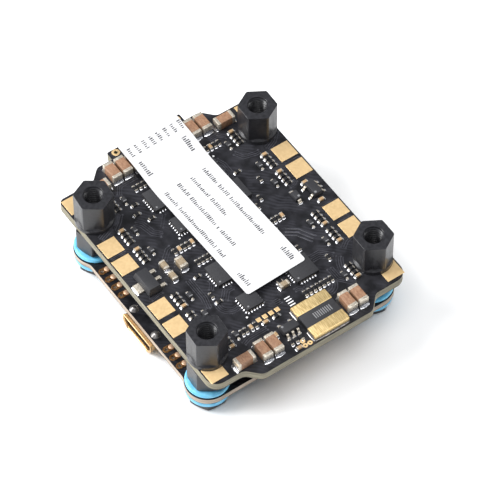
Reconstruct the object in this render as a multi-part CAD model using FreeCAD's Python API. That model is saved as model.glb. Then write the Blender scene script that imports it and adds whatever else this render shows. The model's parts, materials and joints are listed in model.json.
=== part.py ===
import FreeCAD, Part
import math
import os

# A flight controller and a four-motor speed controller, bolted together as one stack.
# Millimetres. The origin is the centre of the 30.5 mm hole pattern, in the plane of the
# top standoffs' open ends. +Z points out of those ends, +Y runs along the longer board
# towards its signal end, and the USB socket opens towards -X.

# ---------------------------------------------------------------- driving dimensions
HOLE_PITCH = 30.5        # M3 hole pattern, square
HEX_AF = 5.5             # across flats of every nylon hexagon
TAP_R = 1.25             # tapped M3 hole, at its drilled size
STUD_R = 1.45            # M3 stud, over its crests
NUT_BORE_R = 1.5         # M3 nut and female spacer thread, over its roots
BOARD_HOLE_R = 1.6       # clearance hole in the speed controller

STANDOFF_H = 6.2         # hexagon of a top standoff
STANDOFF_BORE = 5.2      # depth of its tapped hole
STANDOFF_STUD = 4.4      # its stud, through the board and into the spacer
FOOT_R = 3.12            # round collar under its hexagon
FOOT_H = 0.75            # its straight side, below a bevel that runs into the flats
FOOT_BEVEL = 0.42
FOOT_GAP = 0.03          # least gap between a collar and a pad
ESC_T = 1.6              # speed controller board thickness
SPACER_H = 4.5           # hexagon between the boards
SPACER_BORE = 3.0
LIP_TOP = 0.9            # grommet lip above the flight controller
FC_T = 1.1               # flight controller board thickness
LIP_BOTTOM = 1.3         # grommet lip below it
NUT_H = 1.55
NUT_FACE_R = 2.5         # flat ring inside a nut's chamfer
STUD_RECESS = 0.1        # the spacer's stud ends this far inside the nut

GROMMET_HOLE_R = 2.0     # hole in the flight controller, filled by the grommet's neck
GROMMET_LIP_R = 3.55
GROMMET_BORE_R = 1.5

ESC_HALF_W = 18.0
FC_HALF_W = 18.0
FC_EAR_R = 3.6           # corner ears, round the holes
FC_EAR_FILLET = 2.0      # hollow fillet from an ear to the board's side
COPPER = 0.06            # height of a plated pad above its board

JST_PITCH = 1.0          # 1 mm wire-to-board connectors
JST_DEPTH = 4.2
JST_H = 2.5

USB_Y = -0.95            # centre of the micro-USB socket
USB_W = 7.5
USB_H = 2.45
USB_DEPTH = 5.0
USB_PROUD = 0.65         # how far the shell stands past the board's edge
USB_WALL = 0.3
USB_LEG_X = -17.05       # the shell's anchoring legs
USB_LEG_SPREAD = 5.9

# Two-terminal packages: length, width, height
SIZE_0402_RESISTOR = (1.0, 0.5, 0.35)
SIZE_0402_CAPACITOR = (1.0, 0.5, 0.5)
SIZE_0603_CAPACITOR = (1.6, 0.9, 0.85)
SIZE_0805_CAPACITOR = (2.0, 1.25, 1.25)
SIZE_1206_CAPACITOR = (3.2, 1.6, 1.65)
SIZE_SMALL_DIODE = (1.6, 0.8, 0.6)

# ---------------------------------------------------------------- levels, from the top down
ESC_TOP = -STANDOFF_H
ESC_BOTTOM = ESC_TOP - ESC_T
SPACER_BOTTOM = ESC_BOTTOM - SPACER_H
FC_TOP = SPACER_BOTTOM - LIP_TOP
FC_BOTTOM = FC_TOP - FC_T
NUT_TOP = FC_BOTTOM - LIP_BOTTOM
NUT_BOTTOM = NUT_TOP - NUT_H

HALF_PITCH = HOLE_PITCH / 2
CORNERS = [(sx * HALF_PITCH, sy * HALF_PITCH) for sx in (-1, 1) for sy in (-1, 1)]

V = FreeCAD.Vector
Z_AXIS = V(0, 0, 1)
Y_AXIS = V(0, 1, 0)


# ---------------------------------------------------------------- shape helpers
def block(cx, cy, z, dx, dy, dz):
    """A box centred on (cx, cy) that stands on height z."""
    return Part.makeBox(dx, dy, dz, V(cx - dx / 2, cy - dy / 2, z))


def disc(cx, cy, z, radius, height):
    """A cylinder that stands on height z."""
    return Part.makeCylinder(radius, height, V(cx, cy, z))


def prism(points, z, height):
    """A straight prism on a closed polygon of (x, y) points."""
    corners = [V(x, y, z) for x, y in points]
    return Part.Face(Part.makePolygon(corners + corners[:1])).extrude(V(0, 0, height))


def hexagon(z, height, turn):
    """A hexagonal prism about the Z axis; turn is the angle of its first corner."""
    radius = HEX_AF / math.sqrt(3)
    angles = [math.radians(turn + 60 * k) for k in range(6)]
    return prism([(radius * math.cos(a), radius * math.sin(a)) for a in angles], z, height)


def rounded_prism(corners, z, height):
    """A prism on a polygon of (x, y, radius) corners, each corner rounded by its radius."""
    edges = []
    tangents = []
    count = len(corners)
    for i, (x, y, radius) in enumerate(corners):
        here = V(x, y, z)
        before = V(*corners[i - 1][:2], z) - here
        after = V(*corners[(i + 1) % count][:2], z) - here
        before.normalize()
        after.normalize()
        half = math.acos(max(-1.0, min(1.0, before.dot(after)))) / 2
        start = here + before * (radius / math.tan(half))
        end = here + after * (radius / math.tan(half))
        if radius:
            middle = before + after
            middle.normalize()
            crown = here + middle * (radius / math.sin(half) - radius)
            edges.append(Part.Arc(start, crown, end).toShape())
        tangents.append((start, end))
    for i in range(count):
        start, end = tangents[i][1], tangents[(i + 1) % count][0]
        if start.distanceToPoint(end) > 1e-6:
            edges.append(Part.LineSegment(start, end).toShape())
    wire = Part.Wire(Part.__sortEdges__(edges))
    return Part.Face(wire).extrude(V(0, 0, height))


def place(shape, x, y, z, turn=0, hang=False):
    """Moves a shape that was built standing on the origin; hang turns it upside down first."""
    moved = shape.copy()
    if hang:
        moved.rotate(V(0, 0, 0), Y_AXIS, 180)
    moved.rotate(V(0, 0, 0), Z_AXIS, turn)
    moved.translate(V(x, y, z))
    return moved


def save(node, solids):
    """Writes one node: a single solid, or a group of separate solids."""
    shapes = solids if isinstance(solids, list) else [solids]
    for shape in shapes:
        if not shape.isValid() or len(shape.Solids) != 1:
            raise ValueError("%s holds a shape that is not one valid solid" % node)
    whole = shapes[0] if len(shapes) == 1 else Part.makeCompound(shapes)
    whole.exportStep(os.path.join("parts", node + ".step"))


# ---------------------------------------------------------------- packages, standing on z = 0
def chip_block(size):
    """A two-terminal package, its length along X."""
    length, width, height = size
    return block(0, 0, 0, length, width, height)


def gull_lead(body_edge, exit_z, reach, width):
    """One bent lead that leaves the body's +X side, drops to the board and ends in a foot."""
    thick = 0.14
    knee = body_edge + 0.38 * reach
    tip = body_edge + reach
    profile = [
        (body_edge - 0.2, exit_z),
        (knee - thick, exit_z),
        (knee - thick, 0),
        (tip, 0),
        (tip, thick),
        (knee, thick),
        (knee, exit_z + thick),
        (body_edge - 0.2, exit_z + thick),
    ]
    corners = [V(x, -width / 2, z) for x, z in profile]
    return Part.Face(Part.makePolygon(corners + corners[:1])).extrude(V(0, width, 0))


def leaded_chip(dx, dy, height, rows, lead_width=0.3, reach=1.0):
    """A moulded body on bent leads; rows maps a side's direction (0 is +X) to lead offsets."""
    shape = block(0, 0, 0.1, dx, dy, height - 0.1)
    leads = []
    for direction, offsets in rows.items():
        body_edge = dx / 2 if direction % 180 == 0 else dy / 2
        for offset in offsets:
            lead = gull_lead(body_edge, 0.45 * height, reach, lead_width)
            lead.translate(V(0, offset, 0))
            lead.rotate(V(0, 0, 0), Z_AXIS, direction)
            leads.append(lead)
    return shape.multiFuse(leads).removeSplitter()


def spread(count, pitch):
    """Offsets of evenly pitched items, centred on zero."""
    return [(i - (count - 1) / 2) * pitch for i in range(count)]


def small_outline_5():
    """Five-lead package, long side along Y: two leads at -X, three at +X."""
    return leaded_chip(1.6, 2.9, 1.1, {0: spread(3, 0.95), 180: [-0.95, 0.95]}, 0.4, 0.65)


def connector_shapes(ways):
    """A side-entry connector that opens towards +Y: (housing, list of contacts)."""
    width = JST_PITCH * (ways + 1) + 1.0
    housing = block(0, 0, 0, width, JST_DEPTH, JST_H)
    cavity = block(0, 0.55, 0.45, width - 1.0, JST_DEPTH - 1.1 + 0.01, JST_H - 0.95)
    contacts = []
    for offset in spread(ways, JST_PITCH):
        pin = block(offset, -0.1, 0.95, 0.3, 3.3, 0.3)
        riser = block(offset, -1.95, 0, 0.3, 0.4, 1.25)
        tail = block(offset, -2.35, 0, 0.3, 1.2, 0.2)
        contacts.append(pin.multiFuse([riser, tail]).removeSplitter())
    housing = housing.cut(cavity).cut(Part.makeCompound(contacts))
    return housing, contacts


# ---------------------------------------------------------------- nylon and silicone fasteners
def top_standoffs():
    """Female ends up, studs through the speed controller and into the spacers below it."""
    turns = {(-1, 1): 24, (1, 1): 28, (1, -1): 29.5, (-1, -1): 26}
    solids = []
    for (sx, sy), turn in turns.items():
        body = hexagon(FOOT_H, STANDOFF_H - FOOT_H, turn)
        foot = disc(0, 0, 0, FOOT_R, FOOT_H)
        bevel = Part.makeCone(FOOT_R, FOOT_R - FOOT_BEVEL, FOOT_BEVEL, V(0, 0, FOOT_H))
        stud = disc(0, 0, -STANDOFF_STUD, STUD_R, STANDOFF_STUD)
        bore = disc(0, 0, STANDOFF_H - STANDOFF_BORE, TAP_R, STANDOFF_BORE)
        shape = body.multiFuse([foot, bevel, stud]).cut(bore).removeSplitter()
        solids.append(place(shape, sx * HALF_PITCH, sy * HALF_PITCH, ESC_TOP))
    return solids


def middle_standoffs():
    """Female ends up under the speed controller, studs down through grommets and nuts."""
    turns = {(-1, 1): 46, (1, 1): 10, (1, -1): 38, (-1, -1): 26}
    length = LIP_TOP + FC_T + LIP_BOTTOM + NUT_H - STUD_RECESS
    solids = []
    for (sx, sy), turn in turns.items():
        body = hexagon(0, SPACER_H, turn)
        stud = disc(0, 0, -length, STUD_R, length)
        bore = disc(0, 0, SPACER_H - SPACER_BORE, NUT_BORE_R, SPACER_BORE)
        shape = body.fuse(stud).cut(bore).removeSplitter()
        solids.append(place(shape, sx * HALF_PITCH, sy * HALF_PITCH, SPACER_BOTTOM))
    return solids


def lock_nuts():
    """Nylon nuts that clamp the grommets; their lower faces carry the stack on a table."""
    turns = {(-1, 1): 0, (1, 1): 17, (1, -1): 41, (-1, -1): -4}
    chamfer = 0.3
    solids = []
    for (sx, sy), turn in turns.items():
        body = hexagon(0, NUT_H, turn)
        crown = Part.makeCone(NUT_FACE_R, NUT_FACE_R + 0.7, chamfer)
        barrel = disc(0, 0, chamfer, NUT_FACE_R + 0.7, NUT_H - 2 * chamfer)
        base = Part.makeCone(NUT_FACE_R + 0.7, NUT_FACE_R, chamfer, V(0, 0, NUT_H - chamfer))
        envelope = crown.multiFuse([barrel, base])
        shape = body.common(envelope).cut(disc(0, 0, 0, NUT_BORE_R, NUT_H))
        solids.append(place(shape, sx * HALF_PITCH, sy * HALF_PITCH, NUT_BOTTOM))
    return solids


def grommets():
    """Silicone bobbins, their necks in the flight controller's corner holes."""
    solids = []
    for x, y in CORNERS:
        lower = disc(x, y, NUT_TOP, GROMMET_LIP_R, LIP_BOTTOM)
        neck = disc(x, y, FC_BOTTOM, GROMMET_HOLE_R, FC_T)
        upper = disc(x, y, FC_TOP, GROMMET_LIP_R, LIP_TOP)
        bore = disc(x, y, NUT_TOP, GROMMET_BORE_R, SPACER_BOTTOM - NUT_TOP)
        solids.append(lower.multiFuse([neck, upper]).cut(bore).removeSplitter())
    return solids


# ---------------------------------------------------------------- speed controller board
SIGNAL_PAD_X = [-5.45 + 1.63 * k for k in range(8)]
SIGNAL_PAD_Y = 24.15
PROBE_HOLES = [(-2.25, -21.5), (-2.35, -22.35), (-1.5, -22.35)]

# (x, y, corner radius), anticlockwise from the near left corner
ESC_OUTLINE = [
    (-ESC_HALF_W, -20.8, 2.0),
    (-12.5, -20.8, 1.6),
    (-10.4, -23.0, 1.6),
    (9.7, -23.0, 1.4),
    (11.9, -20.7, 1.4),
    (ESC_HALF_W, -20.7, 2.0),
    (ESC_HALF_W, 21.2, 1.0),
    (11.7, 21.2, 1.2),
    (9.7, 23.35, 1.2),
    (6.95, 23.35, 0),
    (6.95, 24.9, 0.3),
    (-6.7, 24.9, 0.3),
    (-6.7, 23.35, 0),
    (-9.5, 23.35, 1.2),
    (-11.6, 21.35, 1.2),
    (-ESC_HALF_W, 21.35, 1.0),
]


def esc_board():
    board = rounded_prism(ESC_OUTLINE, ESC_BOTTOM, ESC_T)
    holes = [disc(x, y, ESC_BOTTOM, BOARD_HOLE_R, ESC_T) for x, y in CORNERS]
    holes += [disc(x, SIGNAL_PAD_Y, ESC_BOTTOM, 0.3, ESC_T) for x in SIGNAL_PAD_X]
    holes += [disc(x, y, ESC_BOTTOM, 0.13, ESC_T) for x, y in PROBE_HOLES]
    return board.cut(Part.makeCompound(holes))


MOTOR_PAD = 3.1
MOTOR_PAD_X = 16.22
MOTOR_PAD_Y = [19.35, 9.3, 5.33, -4.47, -8.47, -18.55]


def esc_motor_pads():
    """Three plated pads for each motor, trimmed where they come near a standoff's foot."""
    feet = Part.makeCompound([disc(x, y, ESC_TOP, FOOT_R + FOOT_GAP, 1) for x, y in CORNERS])
    pads = []
    for side in (-1, 1):
        for y in MOTOR_PAD_Y:
            pad = block(side * MOTOR_PAD_X, y, ESC_TOP, MOTOR_PAD, MOTOR_PAD, COPPER)
            pads.append(pad.cut(feet).Solids[0])
    return pads


def ring_pad(x, y, outer, inner):
    return disc(x, y, ESC_TOP, outer, COPPER).cut(disc(x, y, ESC_TOP, inner, COPPER))


def esc_signal_pads():
    return [ring_pad(x, SIGNAL_PAD_Y, 0.66, 0.3) for x in SIGNAL_PAD_X]


def esc_test_pads():
    squares = [block(-5.4 + 1.12 * k, -14.6, ESC_TOP, 0.75, 0.75, COPPER) for k in range(4)]
    return squares + [ring_pad(x, y, 0.4, 0.13) for x, y in PROBE_HOLES]


def esc_battery_pads():
    """The two battery wires are soldered to the underside, at the near end."""
    z = ESC_BOTTOM - COPPER
    return [block(x, -20.3, z, 6.0, 4.4, COPPER) for x in (-5.2, 5.2)]


LABEL_W = 11.0
LABEL_T = 0.1
LABEL_TILT = 1.86         # degrees off the board's own axis
LABEL_SHIFT = 0.64
LABEL_CORNER_R = 0.45
# (y, height above the board) along the label: over the chips, then up over tall capacitors
LABEL_LINE = [(-10.25, 0.9), (14.0, 0.9), (18.4, 1.95), (22.6, 2.4), (25.1, 2.6)]


def esc_label():
    """A paper sticker that lies on the chips and climbs over the tall capacitors."""
    under = [V(-LABEL_W / 2, y, z) for y, z in LABEL_LINE]
    over = [V(-LABEL_W / 2, y, z + LABEL_T) for y, z in reversed(LABEL_LINE)]
    outline = under + over
    strip = Part.Face(Part.makePolygon(outline + outline[:1])).extrude(V(LABEL_W, 0, 0))
    low_y, high_y = LABEL_LINE[0][0], LABEL_LINE[-1][0]
    half = LABEL_W / 2
    corners = [(-half, low_y), (half, low_y), (half, high_y), (-half, high_y)]
    rounded = rounded_prism([(x, y, LABEL_CORNER_R) for x, y in corners], 0, 4)
    trimmed = strip.common(rounded)
    return place(trimmed, LABEL_SHIFT, 0, ESC_TOP, LABEL_TILT)


# ---------------------------------------------------------------- speed controller components
COLUMN_STEP = 0.85
# One group per motor phase: column x, its capacitor's y, the way its resistors run, diode spot
PHASE_GROUPS = [
    (-11.5, 17.1, -1, (-9.7, 15.5)),
    (-13.2, 10.85, -1, (-11.5, 9.75)),
    (-13.2, 6.65, -1, (-11.5, 5.2)),
    (-13.25, -6.15, 1, (-11.45, -5.1)),
    (-13.25, -10.3, 1, (-11.45, -9.2)),
    (-11.5, -16.35, 1, (-9.85, -15.0)),
    (11.5, 17.1, -1, (9.7, 15.2)),
    (13.2, 10.45, -1, (11.4, 9.1)),
    (13.2, 6.4, -1, (11.4, 5.0)),
    (13.15, -5.75, 1, (11.4, -4.5)),
    (13.15, -9.6, 1, (11.4, -8.5)),
    (11.55, -16.6, 1, (9.95, -15.35)),
]
# Rows of small parts that stand across the board: y, then x of the resistors, x of capacitors
CROSS_ROWS = [
    (3.0, (-8.75, -7.1, -6.35), (-7.85, -5.5)),
    (-0.65, (-7.0, -6.25, -5.5, -4.75), ()),
    (-0.75, (6.4, 7.15, 7.9), (8.65,)),
    (16.5, (-6.95, -6.15, -5.35, 6.35, 7.95, 8.7), (7.15,)),
    (-15.15, (-8.85, -8.15, -6.4), (-7.2,)),
    (-14.7, tuple(3.1 + 0.8 * k for k in range(7)), ()),
    (-20.8, (-3.85, -2.95, -2.0), ()),
]
SINGLE_RESISTORS = [
    (-8.8, -6.95, 90),
    (9.85, -11.2, 90),
    (7.15, -7.2, 90),
    (9.9, 6.95, 90),
    (7.8, 4.0, 90),
    (6.55, 2.85, 90),
    (-9.5, 12.15, 0),
    (-8.05, 10.25, 0),
    (-8.8, 13.85, 0),
    (-8.5, -2.8, 0),
    (-8.45, -8.5, 0),
    (7.85, 10.1, 0),
    (1.2, -10.7, 0),
    (-2.85, -15.6, 0),
]
SINGLE_CAPACITORS = [
    (-4.95, -18.4, 90),
    (-4.85, -15.6, 0),
    (15.2, 2.45, 0),
    (15.4, -1.7, 0),
    (-3.4, -22.3, 0),
]
BULK_CAPACITORS = [(x, 20.62, 90) for x in (-8.35, -6.35, -4.35, 4.5, 6.5, 8.5)]
BULK_CAPACITORS += [(x, -19.92, 90) for x in (-8.4, -6.4, 7.15, 9.15)]
BULK_CAPACITORS += [(-11.65, 19.2, 0), (11.65, 19.2, 0), (-11.7, -19.85, 0)]
GATE_DRIVERS = [(-5.0, 12.65), (-5.0, -4.45), (5.0, 6.9), (5.1, -10.7)]
MOTOR_PROCESSORS = [(-4.7, 6.65), (-4.6, -11.1), (4.65, 12.9), (4.65, -4.1)]


def on_esc(shape, spots):
    """Copies of a package on the speed controller's upper face, at (x, y, turn) spots."""
    return [place(shape, x, y, ESC_TOP, turn) for x, y, turn in spots]


def esc_small_resistors():
    spots = [
        (x, cap_y + way * COLUMN_STEP * k, 0)
        for x, cap_y, way, _ in PHASE_GROUPS
        for k in (1, 2, 3)
    ]
    spots += [(x, y, 90) for y, resistors, _ in CROSS_ROWS for x in resistors]
    return on_esc(chip_block(SIZE_0402_RESISTOR), spots + SINGLE_RESISTORS)


def esc_small_capacitors():
    spots = [(x, cap_y, 0) for x, cap_y, _, _ in PHASE_GROUPS]
    spots += [(x, y, 90) for y, _, capacitors in CROSS_ROWS for x in capacitors]
    return on_esc(chip_block(SIZE_0402_CAPACITOR), spots + SINGLE_CAPACITORS)


def esc_bootstrap_diodes():
    spots = [(x, y, 90) for _, _, _, (x, y) in PHASE_GROUPS]
    return on_esc(chip_block(SIZE_SMALL_DIODE), spots)


def esc_bulk_capacitors():
    return on_esc(chip_block(SIZE_1206_CAPACITOR), BULK_CAPACITORS)


def esc_filter_capacitors():
    small = [(-11.6, 1.6, 90), (-11.6, -0.75, 90), (1.3, -11.7, 0)]
    large = [(-9.3, 0.35, 90)]
    small_package = chip_block(SIZE_0603_CAPACITOR)
    return on_esc(small_package, small) + on_esc(chip_block(SIZE_0805_CAPACITOR), large)


def esc_shunt_resistor():
    """The current-sensing resistor between the two groups of bulk capacitors."""
    return block(2.48, -19.3, ESC_TOP, 6.36, 6.45, 1.0)


def esc_voltage_regulator():
    """Tab package: a wide tab at -X, three leads at +X."""
    body = block(0, 0, 0, 2.5, 4.5, 1.5)
    tab = block(-1.75, 0, 0, 1.1, 1.7, 0.4)
    leads = [block(1.7, y, 0, 1.0, 0.5, 0.4) for y in spread(3, 1.5)]
    return place(body.multiFuse([tab] + leads).removeSplitter(), -15.35, 0.35, ESC_TOP)


def esc_switching_regulator():
    return place(small_outline_5(), 15.5, 0.5, ESC_TOP)


def esc_current_amplifier():
    return place(small_outline_5(), -2.7, -18.65, ESC_TOP, -90)


def esc_protection_diode():
    body = leaded_chip(1.7, 1.25, 0.9, {0: [0], 180: [0]}, 0.6, 0.5)
    return place(body, 12.45, 0.9, ESC_TOP, 90)


def esc_gate_drivers():
    return [block(x, y, ESC_TOP, 4.0, 4.0, 0.85) for x, y in GATE_DRIVERS]


def esc_motor_processors():
    return [block(x, y, ESC_TOP, 3.0, 3.0, 0.75) for x, y in MOTOR_PROCESSORS]


def esc_mosfets():
    """Six power transistors per motor, on the underside."""
    columns = (-11.4, -7.6, 7.6, 11.4)
    rows = (-9.8, -6.1, -2.4, 2.4, 6.1, 9.8)
    z = ESC_BOTTOM - 0.85
    return [block(x, y, z, 3.3, 3.3, 0.85) for x in columns for y in rows]


ESC_CONNECTOR_Y = 22.3


def esc_connector():
    """The signal connector hangs under the board's far end."""
    housing, contacts = connector_shapes(8)
    spot = (0.12, ESC_CONNECTOR_Y, ESC_BOTTOM)
    return place(housing, *spot, hang=True), [place(c, *spot, hang=True) for c in contacts]


# ---------------------------------------------------------------- flight controller board
EDGE_PAD_Y = [10.6, 8.8, 7.0, 5.2, -7.1, -8.9, -10.7]
EDGE_PAD_X = (16.35, 17.3)    # the round land's centre, and its plated hole's
EDGE_PAD_R = 0.56
EDGE_HOLE_R = 0.28
BUTTON_SPOT = (-13.6, -9.0)


def ear_wedge(sx, sy):
    """The hollow fillet between one corner ear and the board's side."""
    centre_x = FC_HALF_W + FC_EAR_FILLET
    reach = FC_EAR_R + FC_EAR_FILLET
    drop = math.sqrt(reach ** 2 - (centre_x - HALF_PITCH) ** 2)
    centre_y = HALF_PITCH - drop
    corners = [(HALF_PITCH, HALF_PITCH), (HALF_PITCH, centre_y), (centre_x, centre_y)]
    wedge = prism([(sx * x, sy * y) for x, y in corners], FC_BOTTOM, FC_T)
    return wedge.cut(disc(sx * centre_x, sy * centre_y, FC_BOTTOM, FC_EAR_FILLET, FC_T))


def fc_board():
    half_y = HALF_PITCH + FC_EAR_R
    reach = FC_EAR_R + FC_EAR_FILLET
    side = HALF_PITCH - math.sqrt(reach ** 2 - (FC_HALF_W + FC_EAR_FILLET - HALF_PITCH) ** 2)
    pieces = [block(0, 0, FC_BOTTOM, HOLE_PITCH, 2 * half_y, FC_T)]
    pieces += [disc(x, y, FC_BOTTOM, FC_EAR_R, FC_T) for x, y in CORNERS]
    pieces += [ear_wedge(sx, sy) for sx in (-1, 1) for sy in (-1, 1)]
    board = block(0, 0, FC_BOTTOM, 2 * FC_HALF_W, 2 * side, FC_T).multiFuse(pieces)
    holes = [disc(x, y, FC_BOTTOM, GROMMET_HOLE_R, FC_T) for x, y in CORNERS]
    for sx in (-1, 1):
        holes += [disc(sx * EDGE_PAD_X[1], y, FC_BOTTOM, EDGE_HOLE_R, FC_T) for y in EDGE_PAD_Y]
    for y in usb_leg_y():
        holes.append(disc(USB_LEG_X, y, FC_BOTTOM, 0.42, FC_T))
    return board.removeSplitter().cut(Part.makeCompound(holes))


def edge_pad(side, y, z):
    """A long land: round at its inner end, with a plated hole at its outer end."""
    inner, outer = (side * x for x in EDGE_PAD_X)
    ends = [disc(x, y, z, EDGE_PAD_R, COPPER) for x in (inner, outer)]
    middle = block((inner + outer) / 2, y, z, abs(outer - inner), 2 * EDGE_PAD_R, COPPER)
    land = middle.multiFuse(ends).removeSplitter()
    return land.cut(disc(outer, y, z, EDGE_HOLE_R, COPPER))


def fc_edge_pads():
    faces = (FC_TOP, FC_BOTTOM - COPPER)
    return [edge_pad(side, y, z) for side in (-1, 1) for y in EDGE_PAD_Y for z in faces]


# ---------------------------------------------------------------- micro-USB socket
def usb_leg_y():
    return [USB_Y + sign * USB_LEG_SPREAD / 2 for sign in (-1, 1)]


def usb_section(width, height, taper):
    """The socket's outline across the X axis: narrower on the side away from the board."""
    return [
        (-width / 2, 0),
        (width / 2, 0),
        (width / 2, -height + taper),
        (width / 2 - taper, -height),
        (-width / 2 + taper, -height),
        (-width / 2, -height + taper),
    ]


def usb_bar(section, x, top_z, length):
    """A bar along +X on a (y, z) section that hangs from height top_z."""
    corners = [V(x, USB_Y + y, top_z + z) for y, z in section]
    return Part.Face(Part.makePolygon(corners + corners[:1])).extrude(V(length, 0, 0))


def usb_shell():
    """Pressed shell under the board, open towards -X, with two legs through the board."""
    mouth = -FC_HALF_W - USB_PROUD
    outer = usb_bar(usb_section(USB_W, USB_H, 0.95), mouth, FC_BOTTOM, USB_DEPTH)
    inner_section = usb_section(USB_W - 2 * USB_WALL, USB_H - 2 * USB_WALL, 0.83)
    inner = usb_bar(inner_section, mouth, FC_BOTTOM - USB_WALL, USB_DEPTH - USB_WALL)
    legs = [disc(USB_LEG_X, y, FC_BOTTOM - 0.15, 0.32, FC_T + 0.3) for y in usb_leg_y()]
    return outer.cut(inner).multiFuse(legs).removeSplitter()


TONGUE_T = 0.7
TONGUE_TOP = FC_BOTTOM - USB_WALL - 0.25
TONGUE_X = -FC_HALF_W - USB_PROUD + 0.7


def usb_tongue():
    length = USB_DEPTH - USB_WALL - 0.7
    return block(TONGUE_X + length / 2, USB_Y, TONGUE_TOP - TONGUE_T, length, 3.7, TONGUE_T)


def usb_contacts():
    z = TONGUE_TOP - TONGUE_T - 0.08
    return [block(TONGUE_X + 1.9, USB_Y + y, z, 3.4, 0.4, 0.08) for y in spread(5, 0.65)]


# ---------------------------------------------------------------- flight controller components
def under_fc(shape, spots):
    """Copies of a package hanging from the board's lower face, at (x, y, turn) spots."""
    return [place(shape, x, y, FC_BOTTOM, turn, hang=True) for x, y, turn in spots]


def over_fc(shape, spots):
    """Copies of a package on the board's upper face, at (x, y, turn) spots."""
    return [place(shape, x, y, FC_TOP, turn) for x, y, turn in spots]


def fc_processor():
    """Square package with sixteen leads a side, between the two boards."""
    rows = {direction: spread(16, 0.5) for direction in (0, 90, 180, 270)}
    return over_fc(leaded_chip(10.0, 10.0, 1.4, rows, 0.22, 1.0), [(1.0, 1.0, 45)])


def fc_gyroscope():
    return over_fc(chip_block((3.0, 3.0, 0.9)), [(0.5, -12.6, 0)])


def fc_flash_memory():
    rows = {0: spread(4, 1.27), 180: spread(4, 1.27)}
    return over_fc(leaded_chip(3.9, 4.9, 1.5, rows, 0.42, 1.05), [(-12.2, 2.2, 0)])


def fc_osd_chip():
    rows = {0: spread(14, 0.65), 180: spread(14, 0.65)}
    return under_fc(leaded_chip(4.4, 9.7, 1.1, rows, 0.24, 1.0), [(1.2, 8.0, 90)])


def fc_barometer():
    return under_fc(chip_block((2.5, 2.0, 0.95)), [(-7.4, 11.6, 0)])


def fc_crystals():
    return under_fc(chip_block((3.2, 2.5, 0.7)), [(-7.6, 7.4, 90), (-8.4, -6.4, 0)])


def fc_buck_regulators():
    rows = {0: spread(3, 0.95), 180: spread(3, 0.95)}
    package = leaded_chip(1.6, 2.9, 1.1, rows, 0.4, 0.65)
    return under_fc(package, [(11.2, 2.7, 0), (11.2, -5.3, 0)])


def fc_power_inductors():
    return under_fc(chip_block((4.0, 4.0, 1.8)), [(7.4, 2.2, 0), (7.4, -5.0, 0)])


def fc_linear_regulator():
    body = block(0, 0, 0, 2.5, 4.5, 1.5)
    tab = block(-1.75, 0, 0, 1.1, 1.7, 0.4)
    leads = [block(1.7, y, 0, 1.0, 0.5, 0.4) for y in spread(3, 1.5)]
    return under_fc(body.multiFuse([tab] + leads).removeSplitter(), [(-1.6, -7.2, 90)])


def fc_power_diodes():
    package = leaded_chip(2.7, 1.6, 1.1, {0: [0], 180: [0]}, 0.8, 0.55)
    return under_fc(package, [(13.6, 7.0, 90), (13.6, -9.9, 90)])


def fc_bulk_capacitors():
    spots = [(9.0, 6.4, 0), (9.0, -9.2, 0), (4.4, -4.6, 90), (4.4, 0.4, 90)]
    return under_fc(chip_block(SIZE_1206_CAPACITOR), spots)


def fc_status_leds():
    return under_fc(chip_block((1.6, 0.8, 0.55)), [(-15.2, y, 0) for y in (6.1, 7.9, 9.7)])


# Rows of small parts below the board: y, first x, step, how many
UNDER_RESISTOR_ROWS = [(3.0, -6.6, 0.95, 7), (-1.6, -7.6, 0.95, 6), (13.2, 6.8, 0.95, 6)]
UNDER_RESISTOR_ROWS += [(-14.6, -6.6, 0.95, 6), (-14.6, 2.4, 0.95, 4)]
UNDER_CAPACITOR_ROWS = [(-3.6, -7.6, 0.95, 5), (-11.4, -2.6, 0.95, 8), (0.8, -9.4, 0.95, 5)]
# The same above it, between the boards
OVER_RESISTOR_ROWS = [(13.4, -6.2, 0.95, 8), (-9.4, -12.6, 0.95, 5)]
OVER_CAPACITOR_ROWS = [(11.6, -3.4, 0.95, 7), (-11.0, 6.0, 0.95, 6), (-2.4, -13.6, 0.95, 4)]


def row_spots(rows):
    return [(x0 + step * k, y, 90) for y, x0, step, count in rows for k in range(count)]


def fc_small_resistors():
    package = chip_block(SIZE_0402_RESISTOR)
    below = under_fc(package, row_spots(UNDER_RESISTOR_ROWS))
    return below + over_fc(package, row_spots(OVER_RESISTOR_ROWS))


def fc_small_capacitors():
    package = chip_block(SIZE_0402_CAPACITOR)
    below = under_fc(package, row_spots(UNDER_CAPACITOR_ROWS))
    return below + over_fc(package, row_spots(OVER_CAPACITOR_ROWS))


# (ways, x, y, turn): the first faces the speed controller's connector, the second opens at +X
FC_CONNECTORS = [(8, 0.0, 16.75, 0), (6, 15.9, -0.95, -90)]


def fc_connectors():
    """Every connector below the board: ([housings], [contacts])."""
    housings = []
    contacts = []
    for ways, x, y, turn in FC_CONNECTORS:
        housing, pins = connector_shapes(ways)
        housings += under_fc(housing, [(x, y, turn)])
        for pin in pins:
            contacts += under_fc(pin, [(x, y, turn)])
    return housings, contacts


BUTTON_CASE = (4.2, 3.2, 1.6)
BUTTON_BORE_R = 0.85
BUTTON_R = 0.8
BUTTON_CAVITY = 1.0
BUTTON_PROUD = 0.55
BUTTON_TRAVEL = 0.25


def boot_button_case():
    cavity = disc(0, 0, BUTTON_CASE[2] - BUTTON_CAVITY, BUTTON_BORE_R, BUTTON_CAVITY)
    return under_fc(chip_block(BUTTON_CASE).cut(cavity), [(*BUTTON_SPOT, 90)])


def boot_button_plunger():
    """It stops 0.1 mm short of the cavity's floor when it is pressed all the way."""
    inner_end = BUTTON_CASE[2] - BUTTON_CAVITY + BUTTON_TRAVEL + 0.1
    length = BUTTON_CASE[2] + BUTTON_PROUD - inner_end
    return under_fc(disc(0, 0, inner_end, BUTTON_R, length), [(*BUTTON_SPOT, 90)])


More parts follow.
